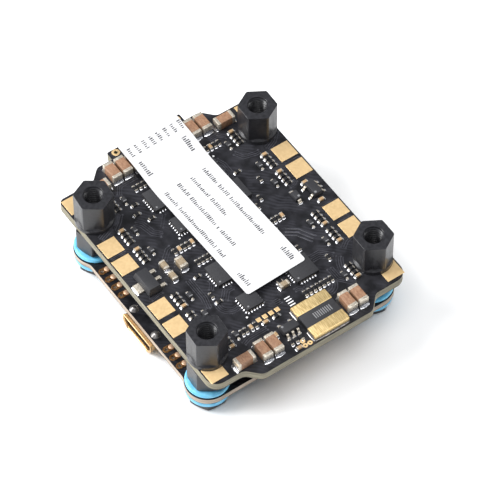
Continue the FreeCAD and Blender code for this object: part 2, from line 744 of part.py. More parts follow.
# ---------------------------------------------------------------- write every node
def main():
    os.makedirs("parts", exist_ok=True)
    single = [
        top_standoffs, middle_standoffs, lock_nuts, esc_board, esc_motor_pads,
        esc_signal_pads, esc_test_pads, esc_battery_pads, esc_label, esc_small_resistors,
        esc_small_capacitors, esc_bootstrap_diodes, esc_bulk_capacitors,
        esc_filter_capacitors, esc_shunt_resistor, esc_voltage_regulator,
        esc_switching_regulator, esc_current_amplifier, esc_protection_diode,
        esc_gate_drivers, esc_motor_processors, esc_mosfets, fc_board, fc_edge_pads,
        usb_shell, usb_tongue, usb_contacts, fc_processor, fc_gyroscope, fc_flash_memory,
        fc_osd_chip, fc_barometer, fc_crystals, fc_buck_regulators, fc_power_inductors,
        fc_linear_regulator, fc_power_diodes, fc_bulk_capacitors, fc_status_leds,
        fc_small_resistors, fc_small_capacitors, boot_button_case, boot_button_plunger,
    ]
    for make in single:
        save(make.__name__, make())
    save("silicone_grommets", grommets())
    housing, contacts = esc_connector()
    save("esc_signal_connector", housing)
    save("esc_connector_contacts", contacts)
    housings, contacts = fc_connectors()
    save("fc_signal_connector", housings[0])
    save("fc_device_connector", housings[1])
    save("fc_connector_contacts", contacts)


main()
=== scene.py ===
import functools
import json
import math
import random

import bmesh
import bpy
from mathutils import Matrix, Vector
from mathutils.bvhtree import BVHTree

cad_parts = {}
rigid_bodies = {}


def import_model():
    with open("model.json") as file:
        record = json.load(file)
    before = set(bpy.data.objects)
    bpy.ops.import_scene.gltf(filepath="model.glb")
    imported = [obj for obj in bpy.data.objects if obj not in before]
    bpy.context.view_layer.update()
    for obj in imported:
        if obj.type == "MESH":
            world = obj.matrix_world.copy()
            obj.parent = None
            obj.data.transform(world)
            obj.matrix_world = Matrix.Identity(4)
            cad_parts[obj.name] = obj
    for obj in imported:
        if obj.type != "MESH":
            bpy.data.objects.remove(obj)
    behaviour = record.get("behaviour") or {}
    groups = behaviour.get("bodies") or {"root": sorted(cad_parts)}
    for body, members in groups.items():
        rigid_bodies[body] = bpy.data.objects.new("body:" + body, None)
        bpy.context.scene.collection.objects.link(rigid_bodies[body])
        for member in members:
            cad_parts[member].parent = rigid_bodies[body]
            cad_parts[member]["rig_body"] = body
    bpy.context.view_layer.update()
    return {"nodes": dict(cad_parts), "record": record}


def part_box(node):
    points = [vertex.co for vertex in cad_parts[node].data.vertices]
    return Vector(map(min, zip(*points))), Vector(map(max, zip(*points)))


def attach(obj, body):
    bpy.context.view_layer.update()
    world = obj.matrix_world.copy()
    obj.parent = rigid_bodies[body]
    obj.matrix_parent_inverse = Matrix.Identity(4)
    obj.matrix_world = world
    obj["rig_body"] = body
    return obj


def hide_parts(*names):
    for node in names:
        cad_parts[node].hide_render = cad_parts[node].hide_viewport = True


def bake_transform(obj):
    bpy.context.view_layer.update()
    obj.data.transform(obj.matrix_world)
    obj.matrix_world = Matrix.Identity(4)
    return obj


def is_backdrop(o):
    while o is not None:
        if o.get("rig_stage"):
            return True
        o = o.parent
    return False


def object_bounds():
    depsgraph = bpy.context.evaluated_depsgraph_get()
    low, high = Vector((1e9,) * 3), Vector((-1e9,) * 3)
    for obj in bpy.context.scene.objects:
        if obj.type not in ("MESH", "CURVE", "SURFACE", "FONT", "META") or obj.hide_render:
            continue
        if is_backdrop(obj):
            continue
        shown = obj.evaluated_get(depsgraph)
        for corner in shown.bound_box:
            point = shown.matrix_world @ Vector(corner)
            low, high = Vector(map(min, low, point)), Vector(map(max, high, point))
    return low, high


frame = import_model()

# The stack of two boards, in detail. Shapes are written in millimetres, in the frame of the CAD
# model, and scaled to metres when a piece is made.
MM = 0.001
TAU = 2 * math.pi
NODES = frame["nodes"]
SLOT_OF = {part["node"]: part["material_slot"] for part in frame["record"]["subparts"]}
STACK = "stack"
FC = "flight_controller"
rng = random.Random(7)


# -------- shapes: (vertices, faces)
def ring(half_x, half_y, radius, z, steps=3):
    """A rounded rectangle at height z, anticlockwise."""
    points = []
    for quarter, (sx, sy) in enumerate(((1, 1), (-1, 1), (-1, -1), (1, -1))):
        for k in range(steps + 1):
            angle = TAU / 4 * (quarter + k / steps)
            x = sx * (half_x - radius) + radius * math.cos(angle)
            points.append((x, sy * (half_y - radius) + radius * math.sin(angle), z))
    return points


def loft(rings, closed=False):
    """A skin through rings of equal length, capped at both ends or joined into a loop."""
    count = len(rings[0])
    verts = [point for each in rings for point in each]
    faces = []
    for i in range(len(rings) - (0 if closed else 1)):
        here, there = i * count, (i + 1) % len(rings) * count
        for k in range(count):
            after = (k + 1) % count
            faces.append((here + k, here + after, there + after, there + k))
    if not closed:
        faces.append(tuple(reversed(range(count))))
        faces.append(tuple(range((len(rings) - 1) * count, len(rings) * count)))
    return verts, faces


@functools.lru_cache(None)
def slab(dx, dy, dz, edge, corner=None, base=0.0):
    """A block that stands on height base, its edges rounded by edge and its corners by corner."""
    corner = edge if corner is None else corner
    hx, hy = dx / 2, dy / 2
    bend = [(0.0, 1.0), (0.29, 0.29), (1.0, 0.0)]
    rings = [(edge * inset, base + edge * up) for up, inset in bend]
    rings += [(edge * inset, base + dz - edge * up) for up, inset in reversed(bend)]
    return loft([ring(hx - inset, hy - inset, corner, z) for inset, z in rings])


@functools.lru_cache(None)
def moulding(dx, dy, dz, waist, draft, edge=0.05):
    """An epoxy body: widest at its parting line, with drafted sides."""
    hx, hy = dx / 2, dy / 2
    levels = [
        (draft * waist / dz + edge, 0),
        (draft * waist / dz, edge),
        (0, waist - 0.02),
        (0, waist + 0.02),
        (draft, dz - edge),
        (draft + 0.3 * edge, dz - 0.3 * edge),
        (draft + edge, dz),
    ]
    return loft([ring(hx - inset, hy - inset, 0.06, z, 2) for inset, z in levels])


def lathe(profile, steps=40, closed=False):
    """A solid turned about Z on (radius, z) points; capped at both ends or joined into a loop."""
    angles = [TAU * k / steps for k in range(steps)]
    rings = [[(r * math.cos(a), r * math.sin(a), z) for a in angles] for r, z in profile]
    return loft(rings, closed)


def sides(path, axis):
    """Each point of a flat path with the way to its side; longer in a bend, to keep lines parallel."""
    points = [Vector(p) for p in path]
    found = []
    for i, point in enumerate(points):
        before = (point - points[i - 1]).normalized() if i else None
        after = (points[i + 1] - point).normalized() if i < len(points) - 1 else before
        tangent = ((before or after) + after).normalized()
        found.append((point, axis.cross(tangent) / max(0.4, tangent.dot(after))))
    return found


def sweep(path, section, axis):
    """A section carried along a flat path; section points are (sideways, along axis)."""
    axis = Vector(axis)
    return loft([
        [tuple(point + side * a + axis * b) for a, b in section] for point, side in sides(path, axis)
    ])


def fillet(width, length, height):
    """A solder fillet against the plane x = 0: a hollow slope that runs out along +X."""
    rings = []
    for u in (-1.0, -0.72, -0.3, 0.3, 0.72, 1.0):
        reach = length * (1 - 0.45 * u * u)
        rise = height * (1 - 0.25 * u * u)
        half = width / 2 * u
        slope = [(reach * t * t, rise * (1 - t) ** 2) for t in (0, 0.25, 0.5, 0.75, 1)]
        slope = [(-0.03, rise)] + slope + [(reach, -0.01), (-0.03, -0.01)]
        rings.append([(x, half, z) for x, z in slope])
    return loft(rings)


def moved(shape, matrix):
    verts, faces = shape
    return [tuple(matrix @ Vector(v)) for v in verts], faces


def shifted(shape, x=0.0, y=0.0, z=0.0, turn=0.0):
    """A shape turned about Z by so many degrees, then moved."""
    return moved(shape, Matrix.Translation((x, y, z)) @ Matrix.Rotation(math.radians(turn), 4, "Z"))


def joined(shapes):
    verts, faces = [], []
    for more_verts, more_faces in shapes:
        base = len(verts)
        verts += more_verts
        faces += [tuple(i + base for i in face) for face in more_faces]
    return verts, faces


# -------- pieces
def linked(name, data):
    """A new object in the scene."""
    made = bpy.data.objects.new(name, data)
    bpy.context.scene.collection.objects.link(made)
    return made


def piece(name, shape, material, body, nodes=(), sharp=38, blend=None):
    """Makes an object from a shape in millimetres; it rides on its body, or with blend is only baked in
    place, and the CAD nodes it stands for are hidden.
    """
    verts, faces = shape
    mesh = bpy.data.meshes.new(name)
    mesh.from_pydata([Vector(v) * MM for v in verts], [], faces)
    work = bmesh.new()
    work.from_mesh(mesh)
    bmesh.ops.recalc_face_normals(work, faces=work.faces)
    work.to_mesh(mesh)
    work.free()
    mesh.polygons.foreach_set("use_smooth", [True] * len(mesh.polygons))
    mesh.set_sharp_from_angle(angle=math.radians(sharp))
    mesh.materials.append(material)
    made = linked(name, mesh)
    if blend:
        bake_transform(made)
    else:
        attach(made, body)
    if nodes:
        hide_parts(*nodes)


def dress(node, material, bevel=0.03):
    """Keeps a CAD node, with softened edges and a better material."""
    thing = NODES[node]
    thing.modifiers.new("weld", "WELD").merge_threshold = 1e-6
    if bevel:
        edges = thing.modifiers.new("edges", "BEVEL")
        edges.width = bevel * MM
        edges.segments = 2
        edges.limit_method = "ANGLE"
        edges.angle_limit = math.radians(40)
    thing.data.materials.clear()
    thing.data.materials.append(material)


def welded(node):
    """A bmesh copy of a CAD node with its doubled vertices merged, in millimetres."""
    work = bmesh.new()
    work.from_mesh(NODES[node].data)
    bmesh.ops.remove_doubles(work, verts=work.verts, dist=1e-7)
    bmesh.ops.scale(work, vec=(1 / MM,) * 3, verts=work.verts)
    return work


def as_shape(work):
    work.verts.index_update()
    verts = [tuple(v.co) for v in work.verts]
    faces = [tuple(v.index for v in face.verts) for face in work.faces]
    work.free()
    return verts, faces


class Box:
    """The box round one solid, in millimetres."""

    def __init__(self, points):
        self.low = Vector([min(p[i] for p in points) for i in range(3)])
        self.high = Vector([max(p[i] for p in points) for i in range(3)])
        self.size = self.high - self.low
        self.centre = (self.low + self.high) / 2


def boxes(node):
    """One box for each separate solid of a CAD node."""
    work = welded(node)
    seen = set()
    found = []
    for start in work.verts:
        if start in seen:
            continue
        island = [start]
        seen.add(start)
        for vert in island:
            for edge in vert.link_edges:
                other = edge.other_vert(vert)
                if other not in seen:
                    seen.add(other)
                    island.append(other)
        found.append(Box([v.co for v in island]))
    work.free()
    return found


def box(node):
    low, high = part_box(node)
    return Box([low / MM, high / MM])


ESC = box("esc_board")
FCB = box("fc_board")
PCB_TOP, PCB_LOW = ESC.high.z, ESC.low.z
FC_TOP, FC_LOW = FCB.high.z, FCB.low.z


def hangs(thing):
    """Whether a package hangs below its board."""
    return min(abs(thing.high.z - level) for level in (PCB_LOW, FC_LOW)) < 0.02


def seat(thing, turn=None):
    """From a package's own frame, standing on z = 0 with its long side along X, to its place."""
    if turn is None:
        turn = 90 if thing.size.y > thing.size.x + 0.01 else 0
    under = hangs(thing)
    spot = (thing.centre.x, thing.centre.y, thing.high.z if under else thing.low.z)
    flip = Matrix.Rotation(math.pi if under else 0, 4, "Y")
    return Matrix.Translation(spot) @ Matrix.Rotation(math.radians(turn), 4, "Z") @ flip


def populate(node, package, finishes, turn=None):
    """Replaces a CAD node's plain packages by detailed ones, one piece for each finish."""
    parts = {part: [] for part in finishes}
    for thing in boxes(node):
        length, width = sorted(thing.size.xy, reverse=True)
        made = package(round(length, 2), round(width, 2), round(thing.size.z, 2))
        for part, shape in made.items():
            parts[part].append(moved(shape, seat(thing, turn)))
    for part, (material, slot) in finishes.items():
        slot = slot or SLOT_OF[node]
        body = NODES[node]["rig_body"]
        piece(f"{node}_{part}", joined(parts[part]), material, body, [node])


# -------- materials
def rgb(red, green, blue):
    """A colour from its 0-255 display values."""
    shares = [value / 255 for value in (red, green, blue)]
    return (*[((c + 0.055) / 1.055) ** 2.4 if c > 0.04 else c / 12.92 for c in shares], 1.0)


class Surface:
    """A Principled material whose colour, roughness and bump come from noise at a real scale.

    Light and dark are its two colours as 0-255 display values, rough its two roughnesses.
    """

    def __init__(self, name, light, dark, rough, metal=0.0, specular=0.5, coat=0.0):
        self.material = bpy.data.materials.new(name)
        self.material.use_nodes = True
        self.tree = self.material.node_tree
        self.shader = self.tree.nodes["Principled BSDF"]
        self.shader.inputs["Metallic"].default_value = metal
        self.shader.inputs["Specular IOR Level"].default_value = specular
        self.shader.inputs["Coat Weight"].default_value = coat
        self.shader.inputs["Coat Roughness"].default_value = 0.15
        self.place = self.tree.nodes.new("ShaderNodeTexCoord").outputs["Object"]
        self.light, self.dark, self.rough = rgb(*light), rgb(*dark), rough
        self.bumps = None

    def node(self, kind, inputs, **settings):
        """A new node; its inputs are linked to sockets or set to values."""
        made = self.tree.nodes.new(kind)
        for key, value in settings.items():
            setattr(made, key, value)
        for key, value in inputs.items():
            if isinstance(value, bpy.types.NodeSocket):
                self.tree.links.new(value, made.inputs[key])
            else:
                made.inputs[key].default_value = value
        return made

    def grain(self, size, stretch=(1, 1, 1), turn=0.0, detail=4.0):
        """Noise with features of that size in millimetres, drawn out along an axis or two."""
        spread = self.node(
            "ShaderNodeMapping",
            {"Vector": self.place, "Scale": stretch, "Rotation": (0, 0, math.radians(turn))},
        )
        return self.node(
            "ShaderNodeTexNoise",
            {"Vector": spread.outputs[0], "Scale": 1 / (size * MM), "Detail": detail},
        ).outputs["Fac"]

    def between(self, value, low, high, start=0.35, end=0.65):
        """Low to high as the value goes from start to end."""
        return self.node(
            "ShaderNodeMapRange",
            {"Value": value, "From Min": start, "From Max": end, "To Min": low, "To Max": high},
        ).outputs[0]

    def mix(self, share, first, second):
        """One colour where share is 0, the other where it is 1."""
        return self.node("ShaderNodeMix", {0: share, 6: first, 7: second}, data_type="RGBA").outputs[2]

    def bump(self, value, depth):
        """Adds relief of that depth in millimetres."""
        inputs = {"Height": value, "Distance": depth * MM, "Strength": 1.0}
        if self.bumps:
            inputs["Normal"] = self.bumps
        self.bumps = self.node("ShaderNodeBump", inputs).outputs[0]

    def finish(self, pattern, colour=None):
        """Colour and roughness follow the pattern; returns the material."""
        share = self.between(pattern, 0.0, 1.0)
        colour = colour or self.mix(share, self.dark, self.light)
        self.tree.links.new(colour, self.shader.inputs["Base Color"])
        rough = self.between(pattern, self.rough[0], self.rough[1])
        self.tree.links.new(rough, self.shader.inputs["Roughness"])
        if self.bumps:
            self.tree.links.new(self.bumps, self.shader.inputs["Normal"])
        return self.material


def plain(name, light, dark, rough, size=0.3, depth=0.004, stretch=(1, 1, 1), turn=0.0, **more):
    """A surface with one grain: colour, roughness and bump all at that size."""
    made = Surface(name, light, dark, rough, **more)
    pattern = made.grain(size, stretch, turn)
    made.bump(made.grain(size / 3, stretch, turn, detail=1.0), depth)
    return made.finish(pattern)


def laminate_material(name, light, dark):
    """A board's cut edge: glass cloth in resin, in thin layers."""
    made = Surface(name, light, dark, (0.5, 0.7))
    layers = made.grain(0.16, (0.05, 0.05, 1.0))
    made.bump(made.grain(0.1, (0.3, 0.3, 1.0)), 0.02)
    return made.finish(layers)


def mask_material():
    """Glossy black mask; patches of fine lines show faintly where copper runs under it."""
    made = Surface("solder_mask", (36, 36, 41), (23, 23, 26), (0.3, 0.46), specular=0.32)
    clouds = made.grain(1.6)
    bands = {"Scale": 0.314 / (0.42 * MM), "Distortion": 9.0, "Detail": 1.0, "Detail Scale": 0.3}
    wave = made.node("ShaderNodeTexWave", {"Vector": made.place, **bands}, bands_direction="DIAGONAL")
    lines = wave.outputs["Fac"]
    patch = made.between(made.grain(3.2, detail=1.0), 0.0, 0.8, 0.47, 0.56)
    shown = made.node("ShaderNodeMath", {0: lines, 1: patch}, operation="MULTIPLY").outputs[0]
    made.bump(shown, 0.005)
    base = made.mix(made.between(clouds, 0.0, 1.0), made.dark, made.light)
    return made.finish(clouds, made.mix(shown, base, rgb(47, 47, 53)))


def brushed_material():
    """Rolled brass with fine slanting scratches."""
    made = Surface("brushed_brass", (244, 218, 162), (200, 170, 112), (0.34, 0.5), metal=0.75)
    scratches = made.grain(0.09, (1.0, 0.08, 1.0), turn=-38)
    made.bump(scratches, 0.006)
    return made.finish(scratches)


def silicone_material():
    made = Surface("sky_silicone", (128, 206, 238), (96, 182, 222), (0.34, 0.46))
    made.shader.inputs["Subsurface Weight"].default_value = 0.25
    made.shader.inputs["Subsurface Radius"].default_value = (0.4, 0.8, 1.0)
    made.shader.inputs["Subsurface Scale"].default_value = 0.5 * MM
    made.bump(made.grain(0.25), 0.006)
    return made.finish(made.grain(1.2))


NYLON = plain("black_nylon", (42, 42, 46), (30, 30, 33), (0.28, 0.38), 0.5, 0.0012, specular=0.5)
MASK = mask_material()
COPPER_MASK = plain("copper_mask", (64, 64, 71), (45, 45, 50), (0.28, 0.4), 0.8, 0.004, specular=0.45)
GOLD = plain("gold_plate", (246, 213, 160), (242, 208, 154), (0.4, 0.48), 0.4, 0.002, metal=0.7)
# Pale gold for the pad beads; the paleness is partly painted highlight
ROSE_GOLD = plain("rose_gold", (250, 214, 184), (238, 190, 150), (0.36, 0.5), 0.2, 0.004, metal=0.6)
# Painted reflection: gold plate darkened to bronze, for pads that mirror the dark underside of the
# board above them
SHADED_GOLD = plain("gold_in_painted_shade", (168, 124, 78), (118, 80, 46), (0.35, 0.5), 0.3, 0.004, metal=0.7)
TIN = plain("tin_ends", (222, 214, 200), (182, 172, 156), (0.3, 0.45), 0.22, 0.006, metal=0.6)
SOLDER = plain("solder", (245, 245, 248), (205, 206, 212), (0.16, 0.3), 0.3, 0.0015, metal=0.9)
DULL_SOLDER = plain("dull_solder", (176, 172, 170), (128, 124, 122), (0.24, 0.4), 0.5, 0.003, metal=0.8)
BROWN = plain("brown_ceramic", (160, 124, 98), (130, 95, 72), (0.4, 0.55), 0.14, 0.008, (1, 0.3, 1))
TAN = plain("tan_ceramic", (186, 156, 118), (150, 120, 84), (0.4, 0.55), 0.14, 0.006)
GREY_TAN = plain("grey_tan_ceramic", (156, 140, 116), (128, 112, 90), (0.4, 0.55), 0.14, 0.006)
GLASS_BLACK = plain("resistor_glass", (30, 30, 33), (20, 20, 22), (0.25, 0.4), 0.15, 0.004)
EPOXY = plain("chip_epoxy", (46, 46, 50), (35, 35, 38), (0.5, 0.66), 0.1, 0.006)
BAND = plain("pale_mark", (132, 132, 134), (112, 112, 114), (0.5, 0.65), 0.1, 0.003)
PAPER = plain("label_paper", (216, 216, 217), (206, 206, 208), (0.6, 0.75), 0.4, 0.003)
INK = plain("grey_print", (66, 66, 70), (50, 50, 54), (0.6, 0.75), 0.1, 0.001)
IVORY = plain("ivory_nylon", (232, 226, 205), (214, 206, 182), (0.45, 0.6), 0.6, 0.005)
LAMINATE = laminate_material("laminate", (150, 144, 122), (98, 92, 74))
PALE_LAMINATE = laminate_material("pale_laminate", (196, 180, 164), (146, 132, 116))
BRASS = brushed_material()
SILICONE = silicone_material()
SHELL_GOLD = plain("usb_gold", (224, 192, 144), (194, 160, 114), (0.22, 0.32), 1.2, 0.0004, metal=0.95)
# Painted shade: dark brown for the inside of the USB shell, where it lies in shade
SHELL_SHADE = plain("painted_shell_shade", (64, 48, 32), (40, 30, 20), (0.4, 0.55), 0.5, 0.003)
LENS = plain("led_lens", (238, 232, 190), (222, 214, 160), (0.15, 0.3), 0.3, 0.002)
SILK = plain("white_legend", (238, 238, 238), (216, 216, 218), (0.6, 0.7), 0.15, 0.002)
FERRITE = plain("ferrite", (74, 72, 72), (58, 56, 56), (0.6, 0.75), 0.12, 0.01)

IN_TIN = (TIN, "tinned_metal")
IN_SOLDER = (SOLDER, "tinned_metal")


# -------- nylon hardware
AF = 5.5               # across flats
CORNER_R = AF / math.sqrt(3)
CORNER_BREAK = 0.05    # how much the hexagon's corners are broken
EDGE_BREAK = 0.04      # and the edges of its square ends
CHAMFER_R = 2.52       # flat ring inside a hexagon's chamfer
COLLAR_R = 3.12        # round collar under a top standoff's hexagon
COLLAR_H = 0.75        # its straight side, below a bevel that runs into the flats
COLLAR_BEVEL = 0.42
STUD_R = 1.45          # stud thread, over its crests
STUD_ROOT_R = 1.25
BORE_R = 1.58          # a top standoff's thread, over its roots
BORE_CREST_R = 1.36
BORE_DEPTH = 5.2
SPACER_BORE_DEPTH = 3.0
NUT_BORE_R = 1.5
NUT_CREST_R = 1.47
NUT_MOUTH_R = 1.7
LIP_TOP = 0.9          # grommet lip above the lower board
THREAD_PITCH = 0.5
HEX_STEPS = 72
LATHE_RINGS = 8        # rings for each turn of a thread


def hex_radius(angle, turn):
    """Distance from the axis to the hexagon's side; turn is the angle of its first corner."""
    off = (math.degrees(angle) - turn) % 60 - 30
    return min(AF / 2 / math.cos(math.radians(off)), CORNER_R - CORNER_BREAK)


def thread_level(wide, narrow, z, depth):
    """One level of a screw thread; depth is its share of the full cut at this height."""

    def at(angle):
        phase = (z / THREAD_PITCH - angle / TAU) % 1
        ridge = min(1, max(0, 1.5 * abs(2 * phase - 1) - 0.25))
        return wide - (wide - narrow) * ridge * depth, z

    return at


def thread_levels(wide, narrow, start, end):
    """A screw thread between two heights; it starts and ends at its wide radius."""
    count = max(2, round(abs(end - start) / THREAD_PITCH * LATHE_RINGS))
    return [
        thread_level(wide, narrow, start + (end - start) * k / count, min(1, k / 4, (count - k) / 4))
        for k in range(count + 1)
    ]


def turned(levels, closed=False):
    """A solid of rings; each level gives (radius, z) at an angle. Closed joins last to first."""
    angles = [TAU * k / HEX_STEPS for k in range(HEX_STEPS)]
    rings = []
    for level in levels:
        points = [level(a) for a in angles]
        rings.append([(r * math.cos(a), r * math.sin(a), z) for (r, z), a in zip(points, angles)])
    return loft(rings, closed)


def rounds(*steps):
    """Levels of a plain turned shape, from (radius, z) steps."""
    return [lambda angle, step=step: step for step in steps]


def chamfered_end(face, turn, slope):
    """From a hexagon's end face to its flats: a flat ring, then a cone that cuts the corners off."""

    def cone(angle):
        radius = hex_radius(angle, turn)
        return radius, face + slope * max(0.0, radius - CHAMFER_R)

    return rounds((CHAMFER_R, face)) + [cone]


def square_end(face, turn):
    """From a hexagon's flats to its upper end face, over an edge that is only just broken."""
    return [
        lambda angle: (hex_radius(angle, turn), face - EDGE_BREAK),
        lambda angle: (hex_radius(angle, turn) - EDGE_BREAK, face),
    ]


def first_corner(node, thing):
    """The angle of a hexagon's first corner, from its outermost vertex."""
    best = 0.0
    turn = 0.0
    for vert in NODES[node].data.vertices:
        x, y = vert.co.x / MM - thing.centre.x, vert.co.y / MM - thing.centre.y
        if best + 1e-4 < math.hypot(x, y) < CORNER_R + 0.1:
            best = math.hypot(x, y)
            turn = math.degrees(math.atan2(y, x)) % 60
    return turn


def collar_levels(base, turn):
    """A round collar whose bevelled upper edge runs into the hexagon's flats."""

    def bevel(rise):
        def at(angle):
            return max(COLLAR_R - rise, hex_radius(angle, turn)), base + COLLAR_H + rise

        return at

    levels = rounds((COLLAR_R - 0.03, base), (COLLAR_R, base + 0.04))
    return levels + [bevel(COLLAR_BEVEL * k / 6) for k in range(7)]


def top_standoff(thing, turn):
    """Female end up with a countersunk thread, stud down through the board."""
    low, shoulder, top = thing.low.z, PCB_TOP, thing.high.z
    levels = rounds((1.1, low), (1.3, low + 0.2))
    levels += thread_levels(STUD_R, STUD_ROOT_R, low + 0.2, shoulder - 0.2)
    levels += rounds((STUD_R, shoulder))
    levels += collar_levels(shoulder, turn)
    levels += square_end(top, turn)
    levels += rounds((BORE_R + 0.08, top), (BORE_R + 0.02, top - 0.06), (BORE_R, top - 0.25))
    levels += thread_levels(BORE_R, BORE_CREST_R, top - 0.25, top - BORE_DEPTH + 0.3)
    levels += rounds((1.2, top - BORE_DEPTH))
    return turned(levels)


def spacer(thing, turn):
    """Female end under the upper board, stud down through grommet and nut."""
    low, shoulder, top = thing.low.z, FC_TOP + LIP_TOP, PCB_LOW
    levels = rounds((1.2, low), (1.35, low + 0.15))
    levels += thread_levels(STUD_R, STUD_ROOT_R, low + 0.15, shoulder - 0.2)
    levels += rounds((STUD_R, shoulder))
    levels += chamfered_end(shoulder, turn, 0.7) + square_end(top, turn)
    levels += rounds((1.75, top), (1.5, top - 0.25), (1.5, top - SPACER_BORE_DEPTH))
    return turned(levels)


def lock_nut(thing, turn):
    """A closed loop of rings: outer skin up, threaded bore down."""
    low, high = thing.low.z, thing.high.z
    levels = chamfered_end(low, turn, 0.6)
    levels += reversed(chamfered_end(high, turn, -0.6))
    levels += rounds((NUT_MOUTH_R, high))
    levels += thread_levels(NUT_BORE_R, NUT_CREST_R, high - 0.2, low + 0.2)
    levels += rounds((NUT_MOUTH_R, low))
    return turned(levels, closed=True)


def hardware(node, make):
    """Replaces all standoffs, spacers or nuts of a node; make shapes one of them."""
    shapes = []
    for thing in boxes(node):
        shape = make(thing, first_corner(node, thing))
        shapes.append(shifted(shape, thing.centre.x, thing.centre.y))
    piece(f"{node}_turned", joined(shapes), NYLON, STACK, [node], sharp=28)


def grommets():
    """Lipped silicone rings, made in an upper and a lower half."""
    node = "silicone_grommets"
    low, high = box(node).low.z, box(node).high.z
    waist = (FC_TOP + FC_LOW) / 2
    for half, lip, face in (("upper", FC_TOP, high), ("lower", FC_LOW, low)):
        way = 1 if face > lip else -1
        thick = abs(face - lip)
        bulge = [TAU / 2 * k / 8 - TAU / 4 for k in range(9)]
        rim = [
            (3.2 + 0.32 * math.cos(a), lip + way * (thick / 2 + (thick / 2 - 0.01) * math.sin(a)))
            for a in bulge
        ]
        profile = [(1.5, waist), (1.98, waist), (1.98, lip)] + rim
        profile += [(1.9, face), (1.5, face - way * 0.08)]
        shape = lathe(profile, 56, closed=True)
        shapes = [shifted(shape, thing.centre.x, thing.centre.y) for thing in boxes(node)]
        blend = (FC, STACK, (0, 0, lip * MM), (0, 0, face * MM))
        piece(f"grommets_{half}", joined(shapes), SILICONE, None, [node], 50, blend)


# -------- circuit boards
MASK_T = 0.07          # mask and outer copper, at each face of a board
BAR_STEP = 0.36        # pitch of the plain bars that stand for print
SHUNT_DIP = 0.06       # the shunt's coating lies this far below its bars


def board_slab(node, low, high):
    """The board's outline and holes between two heights, with broken edges."""
    work = welded(node)
    middle = box(node).centre.z
    for vert in work.verts:
        vert.co.z = high if vert.co.z > middle else low
    bmesh.ops.dissolve_limit(work, angle_limit=math.radians(0.5), verts=work.verts, edges=work.edges)
    rims = [e for e in work.edges if len(e.link_faces) == 2 and e.calc_face_angle() > 1.2]
    bmesh.ops.bevel(work, geom=rims, offset=0.02, segments=1, affect="EDGES")
    return as_shape(work)


def circuit_board(node, name, laminate):
    """A laminate core between two thin layers of mask."""
    body = NODES[node]["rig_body"]
    low, high = box(node).low.z, box(node).high.z
    core = board_slab(node, low + MASK_T, high - MASK_T)
    piece(f"{name}_laminate", core, laminate, body, [node])
    for face, bottom, top in (("upper", high - MASK_T, high), ("lower", low, low + MASK_T)):
        mask = board_slab(node, bottom, top)
        piece(f"{name}_mask_{face}", mask, MASK, body, [node])


def arc(x, y, radius, start, end, count=9):
    """Points on an arc, angles in degrees."""
    angles = [math.radians(start + (end - start) * k / (count - 1)) for k in range(count)]
    return [(x + radius * math.cos(a), y + radius * math.sin(a)) for a in angles]


def beside(path, offset):
    """A path of (x, y) points moved sideways."""
    level = [(x, y, 0) for x, y in path]
    return [tuple((point + side * offset).xy) for point, side in sides(level, Vector((0, 0, 1)))]


# Bundles of parallel tracks on the upper board: (path, how many, pitch, width)
TRACK_BUNDLES = [
    ([(-16.6, 11.5), (-14.6, 12.3), (-13.0, 13.2), (-12.2, 14.2)], 4, 0.34, 0.2),
    ([(-13.9, 11.6), (-12.6, 12.6), (-11.6, 13.7)], 3, 0.4, 0.16),
    ([(-10.9, 2.6), (-9.3, 4.0), (-8.7, 4.1)], 3, 0.4, 0.14),
    ([(-7.7, 8.0), (-6.0, 9.9)], 2, 0.42, 0.14),
    ([(-10.6, 11.0), (-9.9, 10.2), (-9.4, 8.0), (-8.4, 6.9)], 4, 0.36, 0.15),
    ([(-7.6, -8.7), (-6.3, -7.3), (-5.3, -7.3)], 4, 0.36, 0.15),
    ([(-8.2, -6.0), (-7.3, -5.0), (-7.3, -4.4)], 3, 0.32, 0.14),
    ([(-9.9, -2.6), (-9.9, -6.6), (-10.4, -8.6)], 4, 0.34, 0.15),
    (arc(-7.2, -9.3, 1.7, 150, 290), 4, 0.34, 0.15),
    ([(-14.9, 7.33), (-17.4, 7.33)], 2, 0.3, 0.14),
    ([(-16.6, -2.2), (-15.2, -1.9), (-14.4, -1.9)], 4, 0.26, 0.13),
    ([(-9.6, 16.9), (-8.6, 18.3), (-5.6, 18.3)], 3, 0.34, 0.15),
    ([(-9.7, -16.9), (-8.6, -16.5), (-5.3, -16.5)], 3, 0.34, 0.15),
    ([(-2.9, -12.6), (-1.6, -13.5), (-0.7, -13.5)], 4, 0.34, 0.15),
    ([(2.2, -13.3), (2.9, -13.3), (3.4, -13.8)], 3, 0.3, 0.14),
    (arc(6.4, -15.1, 1.4, -95, -5), 4, 0.4, 0.15),
    (arc(15.25, -15.25, 5.0, 140, 172), 4, 0.36, 0.15),
    ([(12.9, -11.0), (14.0, -10.2), (15.2, -9.9)], 3, 0.36, 0.15),
    ([(7.6, -9.9), (9.2, -9.9), (10.6, -11.4)], 5, 0.34, 0.15),
    ([(7.3, -3.4), (8.9, -4.6), (10.2, -7.0)], 3, 0.62, 0.36),
    ([(12.9, 3.2), (13.6, 3.2), (14.3, 3.6)], 3, 0.3, 0.14),
    *[([(14.9, y), (17.5, y)], 2, 0.3, 0.14) for y in (-6.8, -2.86, 7.15)],
    ([(6.3, 9.9), (6.9, 10.7), (6.9, 12.6), (6.4, 13.9)], 4, 0.34, 0.15),
    ([(9.6, 13.4), (10.4, 12.0), (12.4, 11.5), (13.0, 11.5)], 3, 0.36, 0.15),
    ([(14.4, 11.3), (16.0, 12.0), (17.3, 13.3)], 4, 0.34, 0.18),
    ([(8.9, -13.0), (8.9, -15.2), (10.6, -17.2)], 4, 0.34, 0.15),
    ([(8.0, 17.9), (9.4, 17.9), (10.4, 16.9)], 3, 0.34, 0.15),
]
TRACK_H = 0.022
TRACK_SHARE = 0.7      # a track's flat top, as a share of its whole width


